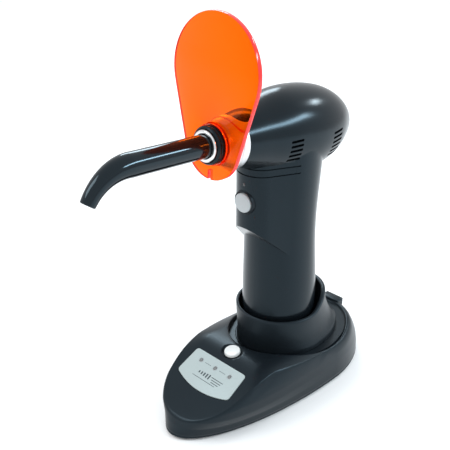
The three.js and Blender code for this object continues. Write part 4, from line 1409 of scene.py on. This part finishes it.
@dataclass
class BaseShell:
    """Boat-shaped base: an inclined front panel, a moat round the cup and soft shoulders."""

    half: float = 37.4
    front: float = 95.8
    rear: float = 71.3
    widest_y: float = 17.4
    bottom: float = 1.2
    wall: float = 2.4
    floor_z: float = 28.3
    groove_half: float = 34.2
    groove_front: float = 34.6
    groove_rear: float = 56.4
    groove_middle: float = 11.8
    hole: float = 27.9
    around: int = 224
    levels: tuple[tuple[float, float, float, float, float], ...] = (
        (1.2, 0.7, 0.9, 0.9, 1.95), (2, 0, 0, 0, 1.95), (9, 0, 1.8, 0.8, 2.2), (15, 0, 4, 2.8, 2.7),
        (22, 0.2, 6.6, 6.6, 3.0), (29.5, 0.9, 10, 12, 3.0), (32.5, 2.2, 13, 14.5, 3.0),
        (36.5, 4.0, 17, 19, 2.8),
    )
    deck: tuple[tuple[float, float, float], ...] = (
        (-104, 8.6, PANEL_SLOPE), (-52, 32.9, PANEL_SLOPE), (-46, 35.1, 0.24), (-40, 36.0, 0.03),
        (-28, 35.3, -0.09), (0, 32.3, -0.1), (17.4, 30.9, -0.05), (90, 29.6, -0.01),
    )
    crown_from: float = 22.0
    crown_share: float = 0.055
    crown_power: float = 1.6
    line_z: tuple[tuple[float, float], ...] = (
        (1.2, 0), (1.55, 0), (2.0, 0), (2.9, 0), (3.1, 0.14), (3.35, 0.14), (3.6, 0))
    wall_from: float = 4.0
    wall_steps: int = 22
    shoulder_steps: int = 11
    deck_steps: int = 24
    deck_edge: float = 0.9
    lip: tuple[tuple[float, float], ...] = ((0.55, 0.08), (0.25, 0.3), (0.06, 0.62), (0.0, 1.0))
    sensor_y: float = -42.9
    dimple: Profile = (
        (0, -1.5), (5.5, -1.5), (5.9, -1.2), (6.9, -0.35), (7.6, 0.0), (8.0, 0.6), (8.0, 6), (0, 6))
    sensor: Profile = ((0, -1.1), (5, -1.1), (5, 0.3), (4.8, 0.62), (4.3, 0.75), (3.9, 0.66), (0, 0.72))

    def deck_z(self, x: float, y: float) -> float:
        """Height of the upper surface, lower towards the sides behind the panel.

        Args:
            x: place across.
            y: place along.

        Returns:
            The height.
        """
        for (y0, z0, s0), (y1, z1, s1) in zip(self.deck, self.deck[1:]):
            if y <= y1:
                break
        run = y1 - y0
        t = clamp01((y - y0) / run)
        z = (
            (2 * t**3 - 3 * t**2 + 1) * z0 + (t**3 - 2 * t**2 + t) * run * s0
            + (3 * t**2 - 2 * t**3) * z1 + (t**3 - t**2) * run * s1)
        beyond = max(0.0, abs(x) - self.crown_from)
        return z - self.crown_share * beyond**self.crown_power * ease((y + 62) / 16)

    def outline(self, turn: float, z: float, inset: float) -> Vector:
        """Point of the side wall in a direction, at a height.

        Args:
            turn: direction in radians, from +X towards +Y.
            z: the height.
            inset: how far inside the outer surface.

        Returns:
            The point.
        """
        narrower, front_in, rear_in, blunt = (
            table([(level[0], level[k]) for level in self.levels], z) for k in (1, 2, 3, 4))
        c, s = math.cos(turn), math.sin(turn)
        share, reach = 1.0, self.rear - rear_in - inset - self.widest_y
        if s < 0:
            share, reach = 2 / blunt, self.front - front_in - inset + self.widest_y
        return Vector((
            power(c, share) * (self.half - narrower - inset), self.widest_y + power(s, share) * reach, z))

    def groove(self, turn: float, grow: float) -> Vector:
        """Point of the moat's outer edge in a direction.

        Args:
            turn: direction in radians, from +X towards +Y.
            grow: added to the reach.

        Returns:
            The point, at height 0.
        """
        reach = (self.groove_rear - self.groove_middle if math.sin(turn) > 0
                 else self.groove_front + self.groove_middle)
        return Vector((
            (self.groove_half + grow) * math.cos(turn),
            self.groove_middle + (reach + grow) * math.sin(turn), 0))

    def rim_z(self, turn: float) -> float:
        """Height at which the side wall meets the deck in a direction.

        Args:
            turn: direction in radians, from +X towards +Y.

        Returns:
            The height.
        """
        height = 20.0
        for _ in range(8):
            corner = self.outline(turn, height, 0)
            height = mix(height, self.deck_z(corner.x, corner.y), 0.7)
        return height

    def shoulder(self, foot: Vector, peak: Vector, inner: Vector, lift: float) -> list[Vector]:
        """Soft curve from the side wall to the deck.

        Args:
            foot: top of the straight wall.
            peak: where wall and deck would meet.
            inner: first point of the deck.
            lift: height added to the peak.

        Returns:
            The points between the foot and the inner point.
        """
        first, second = foot.lerp(peak, 0.62), inner.lerp(peak + Vector((0, 0, lift)), 0.5)
        points = []
        for i in range(1, self.shoulder_steps):
            t = i / self.shoulder_steps
            points.append(
                foot * (1 - t) ** 3 + first * 3 * t * (1 - t) ** 2 + second * 3 * t * t * (1 - t)
                + inner * t**3)
        return points

    def inner_wall(self, turn: float, rim_z: float) -> list[Vector]:
        """Underside of the moat and inside of the walls.

        Args:
            turn: direction in radians, from +X towards +Y.
            rim_z: height of the rim.

        Returns:
            The points, down to the bottom edge.
        """
        flat = Vector((self.hole * math.cos(turn), self.hole * math.sin(turn), 0))
        under = self.groove(turn, 1.2)
        floor_under = self.floor_z - self.wall
        ceiling = max(floor_under + 0.3, self.deck_z(under.x, under.y) - self.wall)
        inside = self.outline(turn, min(rim_z, 30) - self.wall - 2, self.wall)
        roof = max(min(ceiling, rim_z - self.wall), inside.z)
        top = Vector((under.x, under.y, ceiling))
        return [
            Vector((flat.x, flat.y, self.floor_z)), Vector((flat.x, flat.y, floor_under)),
            Vector((under.x, under.y, floor_under)), top,
            Vector((inside.x, inside.y, roof)).lerp(top, 0.15),
            inside, self.outline(turn, 9, self.wall), self.outline(turn, self.bottom, self.wall)]

    def column(self, turn: float) -> list[Vector]:
        """Section of the shell in one direction, from the bottom edge round to itself.

        Args:
            turn: direction in radians, from +X towards +Y.

        Returns:
            The points in order.
        """
        rim_z = self.rim_z(turn)
        corner = self.outline(turn, rim_z, 0)
        edge = self.groove(turn, self.deck_edge)
        land = (Vector((edge.x, edge.y, 0)) - Vector((corner.x, corner.y, 0))).length
        soft = ease((corner.y + 84) / 34)
        radius = min(mix(1.5, 7.5, soft), 0.8 * land, 0.6 * (rim_z - 4))
        points = [self.outline(turn, z, inset) for z, inset in self.line_z]
        shares = [i / self.wall_steps for i in range(1, self.wall_steps + 1)]
        heights = [mix(self.wall_from, rim_z - radius, share) for share in shares]
        points += [self.outline(turn, z, 0) for z in heights]
        share = min(0.9, radius / max(land, TINY))
        inner = Vector((mix(corner.x, edge.x, share), mix(corner.y, edge.y, share), 0))
        inner.z = self.deck_z(inner.x, inner.y)
        peak = Vector((corner.x, corner.y, rim_z))
        points += self.shoulder(points[-1], peak, inner, 0.10 * radius * soft)
        for i in range(self.deck_steps + 1):
            spot = inner.lerp(Vector((edge.x, edge.y, 0)), i / self.deck_steps)
            points.append(Vector((spot.x, spot.y, self.deck_z(spot.x, spot.y))))
        lip_z = self.deck_z(edge.x, edge.y)
        for grow, drop in self.lip:
            side = self.groove(turn, grow)
            points.append(Vector((side.x, side.y, lip_z - drop)))
        side = self.groove(turn, 0)
        low = self.groove(turn, -0.5)
        points += [Vector((side.x, side.y, self.floor_z + 0.6)), Vector((low.x, low.y, self.floor_z))]
        return points + self.inner_wall(turn, rim_z)

    def panel(self, y: float) -> Matrix:
        """Frame on the sloping panel: X across, Y up the slope, Z out of it.

        Args:
            y: place along the panel.

        Returns:
            The frame.
        """
        made = Matrix.Rotation(math.atan(PANEL_SLOPE), 4, "X")
        made.translation = (0, y, self.deck_z(0, y))
        return made

    def sensor_frame(self) -> Matrix:
        """Frame on the deck under the light sensor.

        Returns:
            The frame.
        """
        y = self.sensor_y
        made = Matrix.Rotation(math.atan2(self.deck_z(0, y + 1.5) - self.deck_z(0, y - 1.5), 3), 4, "X")
        made.translation = (0, y, self.deck_z(0, y))
        return made

    def build(self) -> None:
        """The moulded shell with all its openings."""
        shell = Bench.walled("base_shell", self.column, self.around, around=True)
        label = Label(self)
        Bench.cut(shell, label.prism("label_recess", -0.3, -0.8, 6))
        for x in label.lamp_x:
            spot = self.panel(label.lamp_y) @ Matrix.Translation((x, 0, 0))
            Bench.cut(shell, Bench.rod("lamp_well", 1.8, -9, 6, spot, 40))
        place = self.sensor_frame()
        Bench.cut(shell, Bench.turned("dimple", self.dimple, place, 96))
        inlet = Inlet()
        Bench.join(shell, inlet.hood())
        Bench.cut(shell, inlet.opening())
        Bench.settle(shell, "base", BASE_SHELL, Shading.MOULDED, ["base_housing"])
        label.build()
        inlet.build()
        window = Bench.turned("sensor_disc", self.sensor, place, 96)
        Bench.settle(window, "base", WHITE, Shading.MOULDED, ["sensor_window"])


@dataclass
class Inlet:
    """Power socket in a small hood at the rear of the deck."""

    half: float = 5.5
    height: float = 7.5
    z: float = 25.6
    rear: float = 63.2
    depth: float = 6.1
    hood_wall: float = 1.6
    hood_from: float = 56.6
    play: float = 0.25
    hole: float = 2.6
    hole_depth: float = 4.8

    def hood(self) -> bpy.types.Object:
        """Hood that stands out of the rear shoulder.

        Returns:
            The hood.
        """
        side, tall = self.half + self.hood_wall, self.height / 2 + self.hood_wall
        made = Bench.block(
            "hood", (-side, self.hood_from, self.z - tall), (side, self.rear + 0.3, self.z + tall))
        return Bench.bevel(made, 0.8, 4, 60)

    def opening(self) -> bpy.types.Object:
        """Pocket that the socket sits in.

        Returns:
            The cutter.
        """
        side, tall = self.half + self.play, self.height / 2 + self.play
        return Bench.block(
            "pocket", (-side, self.rear - self.depth - 0.3, self.z - tall),
            (side, self.rear + 4, self.z + tall))

    def build(self) -> None:
        """Socket block with its round hole."""
        block = Bench.block(
            "socket_block", (-self.half, self.rear - self.depth, self.z - self.height / 2),
            (self.half, self.rear, self.z + self.height / 2))
        Bench.bevel(block, 0.3, 2, 60)
        along = Matrix.Rotation(-math.pi / 2, 4, "X")
        along.translation = (0, 0, self.z)
        Bench.cut(block, Bench.rod("hole", self.hole, self.rear - self.hole_depth, self.rear + 2, along, 48))
        Bench.settle(block, "base", TRIM, Shading.MACHINED, ["dc_inlet"])


@dataclass
class Label:
    """Silver plate on the panel with three lamps and plain marks."""

    base: BaseShell
    top_half: float = 20.9
    low_half: float = 21.8
    top_y: float = -52.4
    low_y: float = -69.6
    bulge: float = 4.4
    lamp_y: float = -57.8
    lamp_x: tuple[float, ...] = (-12.3, 0.0, 12.3)
    corner: float = 2.2
    corner_drop: float = 0.6
    corner_steps: int = 8
    lamp_hole: float = 1.65
    rim: Profile = ((1.25, -1.5), (1.6, -1.5), (1.6, 0.45), (1.45, 0.6), (1.3, 0.5), (1.25, 0.3))
    lens: Profile = ((0, -4), (1.2, -4), (1.2, 0.2), (0.9, 0.45), (0.5, 0.58), (0, 0.62))

    @staticmethod
    def bend(
        start: tuple[float, float], knee: tuple[float, float], end: tuple[float, float], steps: int,
    ) -> list[tuple[float, float]]:
        """Rounded corner between two points.

        Args:
            start: where it begins.
            knee: the sharp corner that it rounds.
            end: where it ends.
            steps: pieces of the curve.

        Returns:
            The points between the start and the end, without either.
        """
        points = []
        for share in (i / steps for i in range(1, steps)):
            points.append(tuple(
                mix(mix(a, b, share), mix(b, c, share), share) for a, b, c in zip(start, knee, end)))
        return points

    def outline(self, inset: float) -> list[tuple[float, float]]:
        """Straight top, slightly spread sides and a lower edge bowed forwards.

        Args:
            inset: how far inside the edge.

        Returns:
            (x, y) points on the panel.
        """
        slope = math.cos(math.atan(PANEL_SLOPE))
        middle = (self.top_y + self.low_y) / 2
        top = (self.top_y - middle) / slope - inset
        low = (self.low_y - middle) / slope + inset
        wide, wide_low = self.top_half - inset, self.low_half - inset
        corner, drop = self.corner, self.corner_drop
        start, side = (wide - corner, top), (wide + 0.1, top - corner)
        foot, end = (wide_low, low + corner), (wide_low - corner, low - drop)
        right = [
            start, *self.bend(start, (wide, top), side, self.corner_steps), side,
            foot, *self.bend(foot, (wide_low, low), end, self.corner_steps)]
        for i in range(21):
            share = i / 20
            bow = low - drop - (self.bulge - drop) * (1 - (1 - share) ** 2)
            right.append((mix(wide_low - corner, 0, share), bow))
        left = [(-x, y) for x, y in reversed(right[:-1])]
        return right + left

    def prism(
        self, name: str, inset: float, low: float, high: float, round_to: float = 0.0,
    ) -> bpy.types.Object:
        """The outline as a solid between two heights over the panel.

        Args:
            name: name of the piece.
            inset: how far inside the edge.
            low: height of the underside.
            high: height of the top.
            round_to: size of the softened edge.

        Returns:
            The solid.
        """
        place = self.base.panel((self.top_y + self.low_y) / 2)
        rows = [(inset, low), (inset, high - round_to)]
        if round_to:
            rows += [(inset + 0.3 * round_to, high - 0.3 * round_to), (inset + round_to, high)]
        rings = [[place @ Vector((x, y, z)) for x, y in self.outline(shift)] for shift, z in rows]
        return Bench.skin(name, rings)

    def mark(self, name: str, x: float, y: float, half_x: float, half_y: float) -> bpy.types.Object:
        """Thin printed bar on the plate.

        Args:
            name: name of the piece.
            x: place across.
            y: place up the panel.
            half_x: half its width.
            half_y: half its height.

        Returns:
            The bar.
        """
        place = self.base.panel((self.top_y + self.low_y) / 2)
        bar = Bench.block(name, (x - half_x, y - half_y, 0.3), (x + half_x, y + half_y, 0.43), place)
        return Bench.bevel(bar, 0.03, 1, 60)

    def build(self) -> None:
        """Plate, lamps and marks."""
        plate = self.prism("label_face", 0, -0.5, 0.4, 0.25)
        lamps = self.base.panel(self.lamp_y)
        for x in self.lamp_x:
            spot = lamps @ Matrix.Translation((x, 0, 0))
            Bench.cut(plate, Bench.rod("hole", self.lamp_hole, -3, 3, spot, 48))
        Bench.settle(plate, "base", SILVER, Shading.MACHINED, ["label_plate"])
        for index, x in enumerate(self.lamp_x, 1):
            spot = lamps @ Matrix.Translation((x, 0, 0))
            bezel = Bench.turned(f"lamp_rim_{index}", self.rim, spot, 48)
            Bench.settle(bezel, "base", BUTTON, Shading.MACHINED)
            lens = Bench.turned(f"lamp_lens_{index}", self.lens, spot, 40)
            Bench.settle(lens, "base", INDICATOR_LENS, Shading.MOULDED, [f"indicator_lens_{index}"])
        bars = [self.mark("mark", -7.5 + 2.1 * i, -3.4, 0.5, 0.8 + 0.22 * i) for i in range(5)]
        bars += [self.mark("mark", 7.2, -2.6 - 1.5 * i, 4.8 - 0.9 * i, 0.22) for i in range(3)]
        bars += [self.mark("mark", -1.0, -7.0, 9.5, 0.16)]
        for low, high in zip(self.lamp_x, self.lamp_x[1:]):
            bars.append(self.mark("mark", (low + high) / 2, 3.4, 2.6, 0.12))
        marks = bars[0]
        Bench.pick(marks)
        for bar in bars[1:]:
            bar.select_set(True)
        bpy.ops.object.join()
        marks.name = "label_marks"
        Bench.settle(marks, "base", LABEL_INK, Shading.MACHINED)


@dataclass
class Cup:
    """Socket that holds the handpiece, lower in front, with a round well below the deck."""

    bore: float = 25.4
    outer: float = 27.6
    foot_z: float = 28.6
    rim_front: float = 54.5
    rim_rear: float = 62.5
    rim_low: float = 0.0
    rim_run: float = 27.0
    floor_low: float = 8.0
    floor_high: float = 11.0
    spread: float = 4.8
    spread_from: float = 33.0
    lean: float = 7.1
    rim_round: float = 1.1
    foot_heights: tuple[float, ...] = (29.4, 30.6, 31.4, 31.9, 32.4, 33.0, 33.8, 35.0, 36.5)
    wall_from: float = 38.5
    bore_to: float = 34.0
    window: tuple[tuple[float, float, float], ...] = ((-8.5, -4, 7), (8.5, 4, 17))
    around: int = 192
    sections: tuple[tuple[float, float, float, float], ...] = (
        (28.6, 29.0, 27.4, 50.0), (31.4, 29.0, 27.4, 49.4), (33.2, 28.6, 27.1, 46.5),
        (36.5, 28.15, 27.0, 43.6),
        (43, 28.0, 27.2, 39.6), (53, 28.0, 27.0, 34.8), (66.5, 28.2, 26.8, 32.4),
    )

    def wall_point(self, turn: float, z: float) -> Vector:
        """Outside of the cup in a direction, at a height.

        Args:
            turn: direction in radians, from +X towards +Y.
            z: the height.

        Returns:
            The point.
        """
        half, front, rear = (table([(s[0], s[k]) for s in self.sections], z) for k in (1, 2, 3))
        centre = mix(self.lean, 0, ease((z - 30) / 26))
        reach = rear - centre if math.sin(turn) > 0 else front + centre
        return Vector((half * math.cos(turn), centre + reach * math.sin(turn), z))

    def bore_point(self, turn: float, z: float) -> Vector:
        """Inside of the cup in a direction, at a height.

        Args:
            turn: direction in radians, from +X towards +Y.
            z: the height.

        Returns:
            The point.
        """
        rear = self.bore + self.spread * clamp01((z - self.spread_from) / (self.rim_rear - self.spread_from))
        reach = rear if math.sin(turn) > 0 else self.bore
        return Vector((self.bore * math.cos(turn), reach * math.sin(turn), z))

    def rim_z(self, y: float) -> float:
        """Height of the rim, rising from front to back."""
        return mix(self.rim_front, self.rim_rear, ease((y + self.rim_low) / self.rim_run))

    def column(self, turn: float) -> list[Vector]:
        """Section of the cup from the middle of its underside to the middle of its floor.

        Args:
            turn: direction in radians, from +X towards +Y.

        Returns:
            The points in order.
        """
        rim = self.rim_z(self.wall_point(turn, 58).y)
        well = Vector((self.outer * math.cos(turn), self.outer * math.sin(turn), 0))
        points = [
            Vector((0, 0, self.floor_low)), Vector((well.x * 0.97, well.y * 0.97, self.floor_low)),
            Vector((well.x, well.y, self.floor_low + 0.8)), Vector((well.x, well.y, self.foot_z)),
            self.wall_point(turn, self.foot_z + 0.01)]
        under = rim - self.rim_round
        points += [self.wall_point(turn, z) for z in self.foot_heights]
        points += [self.wall_point(turn, mix(self.wall_from, under, i / 18)) for i in range(19)]
        outside, inside = self.wall_point(turn, under), self.bore_point(turn, under)
        for i in range(1, 8):
            angle = math.pi * i / 8
            across = (1 - math.cos(angle)) / 2
            points.append(outside.lerp(inside, across) + Vector((0, 0, self.rim_round * math.sin(angle))))
        points += [self.bore_point(turn, mix(under, self.bore_to, i / 14)) for i in range(15)]
        floor = self.bore_point(turn, self.floor_high)
        return points + [
            self.bore_point(turn, 20), floor + Vector((0, 0, 1)),
            Vector((floor.x * 0.97, floor.y * 0.97, floor.z)), Vector((0, 0, self.floor_high))]

    def build(self) -> None:
        """Cup with the window for the charging contacts."""
        cup = Bench.walled("cup", self.column, self.around)
        Bench.cut(cup, Bench.block("window", *self.window))
        Bench.settle(cup, "base", CUP_SHELL, Shading.MOULDED, ["cradle_cup"])


@dataclass
class Underside:
    """Rubber feet and the screws of the bottom cover."""

    foot: float = 6.0
    foot_edge: tuple[tuple[float, float], ...] = ((1.1, 0.0), (0.5, 0.15), (0.15, 0.45), (0.0, 0.9))

    def build(self) -> None:
        """Feet with a rounded edge and screws with a cross recess."""
        for index in range(1, 5):
            name = f"rubber_foot_{index}"
            low, high = cad_box(name)
            place = Matrix.Translation(((low.x + high.x) / 2, (low.y + high.y) / 2, 0))
            edge = [(self.foot - drawn_in, z) for drawn_in, z in self.foot_edge]
            pad = Bench.turned(
                f"{name}_pad", [(0, 0), *edge, (self.foot, high.z), (0, high.z)], place, 64)
            Bench.settle(pad, "base", RUBBER, Shading.MOULDED, [name])
        for index in range(1, 5):
            name = f"base_screw_{index}"
            low, high = cad_box(name)
            place = Matrix.Translation(((low.x + high.x) / 2, (low.y + high.y) / 2, low.z))
            Bench.settle(
                CrossScrew().make(f"{name}_head", place), "base", SCREW_STEEL, Shading.MACHINED, [name])


@dataclass
class HiddenParts:
    """CAD nodes that show as they are, with their own finishes."""

    finishes: dict[str, Finish] = field(default_factory=lambda: {
        "base_bottom_cover": BASE_SHELL, "contact_block": WHITE, "base_circuit_board": CIRCUIT,
        "light_sensor": TRIM, "contact_pin_1": BRASS, "contact_pin_2": BRASS, "handle_contact_1": BRASS,
        "handle_contact_2": BRASS,
        "driver_board": CIRCUIT, "trigger_switch": TRIM, "battery_cell": CELL, "battery_holder": TRIM,
        "handle_end_cap": TRIM, "led_module": WHITE, "led_lens": GLASS, "heat_sink": ALUMINIUM,
        "fan_frame": TRIM, "fan_rotor": TRIM, "guide_clip_ring": STEEL,
    })

    def build(self) -> None:
        """Dresses each node."""
        for name, finish in self.finishes.items():
            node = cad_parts[name]
            node.data.materials.clear()
            node.data.materials.append(finish.material())


# ---------------------------------------------------------------- studio


@dataclass
class Studio:
    """Pale floor, soft lights and the camera."""

    lens: float = 61.14
    eye: tuple[float, float, float] = (273.0, -326.3, 321.0)
    back: tuple[float, float, float] = (0.628, -0.637, 0.4475)
    right: tuple[float, float, float] = (0.712, 0.702, 0.0)

    def floor(self) -> None:
        """Wide pale floor."""
        bpy.ops.object.select_all(action="DESELECT")
        bpy.ops.mesh.primitive_plane_add(size=8)
        plane = bpy.context.object
        plane.name = "floor"
        sheet = Sheet("pale_floor")
        cloud = sheet.noise(3.0, 2.0)
        shader = sheet.wire(
            "BsdfPrincipled", "BSDF", Base_Color=sheet.blend(cloud, (0.93, 0.93, 0.93), (0.95, 0.95, 0.95)),
            Roughness=0.6 + 0.1 * cloud)
        plane.data.materials.append(sheet.surface(shader))

    def softbox(
        self, name: str, place: Sequence[float], target: Sequence[float], size: tuple[float, float],
        power_w: float, colour: tuple[float, float, float] = (1, 1, 1),
    ) -> None:
        """Rectangular area light aimed at a point, in metres.

        Args:
            name: name of the light.
            place: where it stands.
            target: what it is aimed at.
            size: width and height.
            power_w: its power in watts.
            colour: its colour.
        """
        bpy.ops.object.light_add(type="AREA", location=place)
        lamp = bpy.context.object
        lamp.name = name
        lamp.data.shape = "RECTANGLE"
        lamp.data.size, lamp.data.size_y = size
        lamp.data.energy = power_w
        lamp.data.color = colour
        lamp.rotation_euler = (Vector(target) - Vector(place)).to_track_quat("-Z", "Y").to_euler()

    def sky(self) -> None:
        """Even pale surroundings."""
        world = bpy.data.worlds.new("studio")
        bpy.context.scene.world = world
        world.use_nodes = True
        back = world.node_tree.nodes["Background"]
        back.inputs["Color"].default_value = (0.97, 0.985, 1.0, 1)
        back.inputs["Strength"].default_value = 1.0

    def camera(self) -> None:
        """Camera beside and above the front right."""
        bpy.ops.object.camera_add()
        cam = bpy.context.object
        cam.name = "camera"
        cam.data.lens = self.lens
        cam.data.sensor_width = 36
        cam.data.clip_start, cam.data.clip_end = 0.02, 20
        back = Vector(self.back).normalized()
        right = Vector(self.right).normalized()
        up = back.cross(right).normalized()
        turn = Matrix((up.cross(back), up, back)).transposed()
        cam.matrix_world = Matrix.Translation(TO_FRAME @ Vector(self.eye)) @ turn.to_4x4()
        bpy.context.scene.camera = cam

    def build(self) -> None:
        """Sets the whole studio."""
        self.floor()
        self.sky()
        middle, head = (0, 0.03, 0.12), (0, 0.03, 0.18)
        self.softbox("key", (-0.6, -0.9, 1.1), middle, (0.7, 0.7), 8)
        self.softbox("band", (0.86, 0.54, 0.65), head, (0.62, 0.13), 7, (0.78, 0.92, 1.0))
        self.softbox("spark", (0.25, 1.0, 0.78), head, (0.2, 0.1), 2, (0.9, 0.97, 1.0))
        self.softbox("deck sheen", (-0.7, 0.58, 0.7), (0, -0.03, 0.03), (0.4, 0.25), 3, (0.8, 0.93, 1.0))
        self.camera()
        bpy.context.scene.view_settings.view_transform = "Standard"


def main() -> None:
    """Builds every piece, dresses the rest and sets the studio."""
    logging.basicConfig(level=logging.INFO, format="%(message)s")
    for maker in (
        Housing(), Trigger(), Nose(), LightGuide(), Shield(), BaseShell(), Cup(), Underside(), HiddenParts(),
        Studio(),
    ):
        LOG.info("building %s", type(maker).__name__)
        maker.build()


if __name__ == "__main__":
    main()
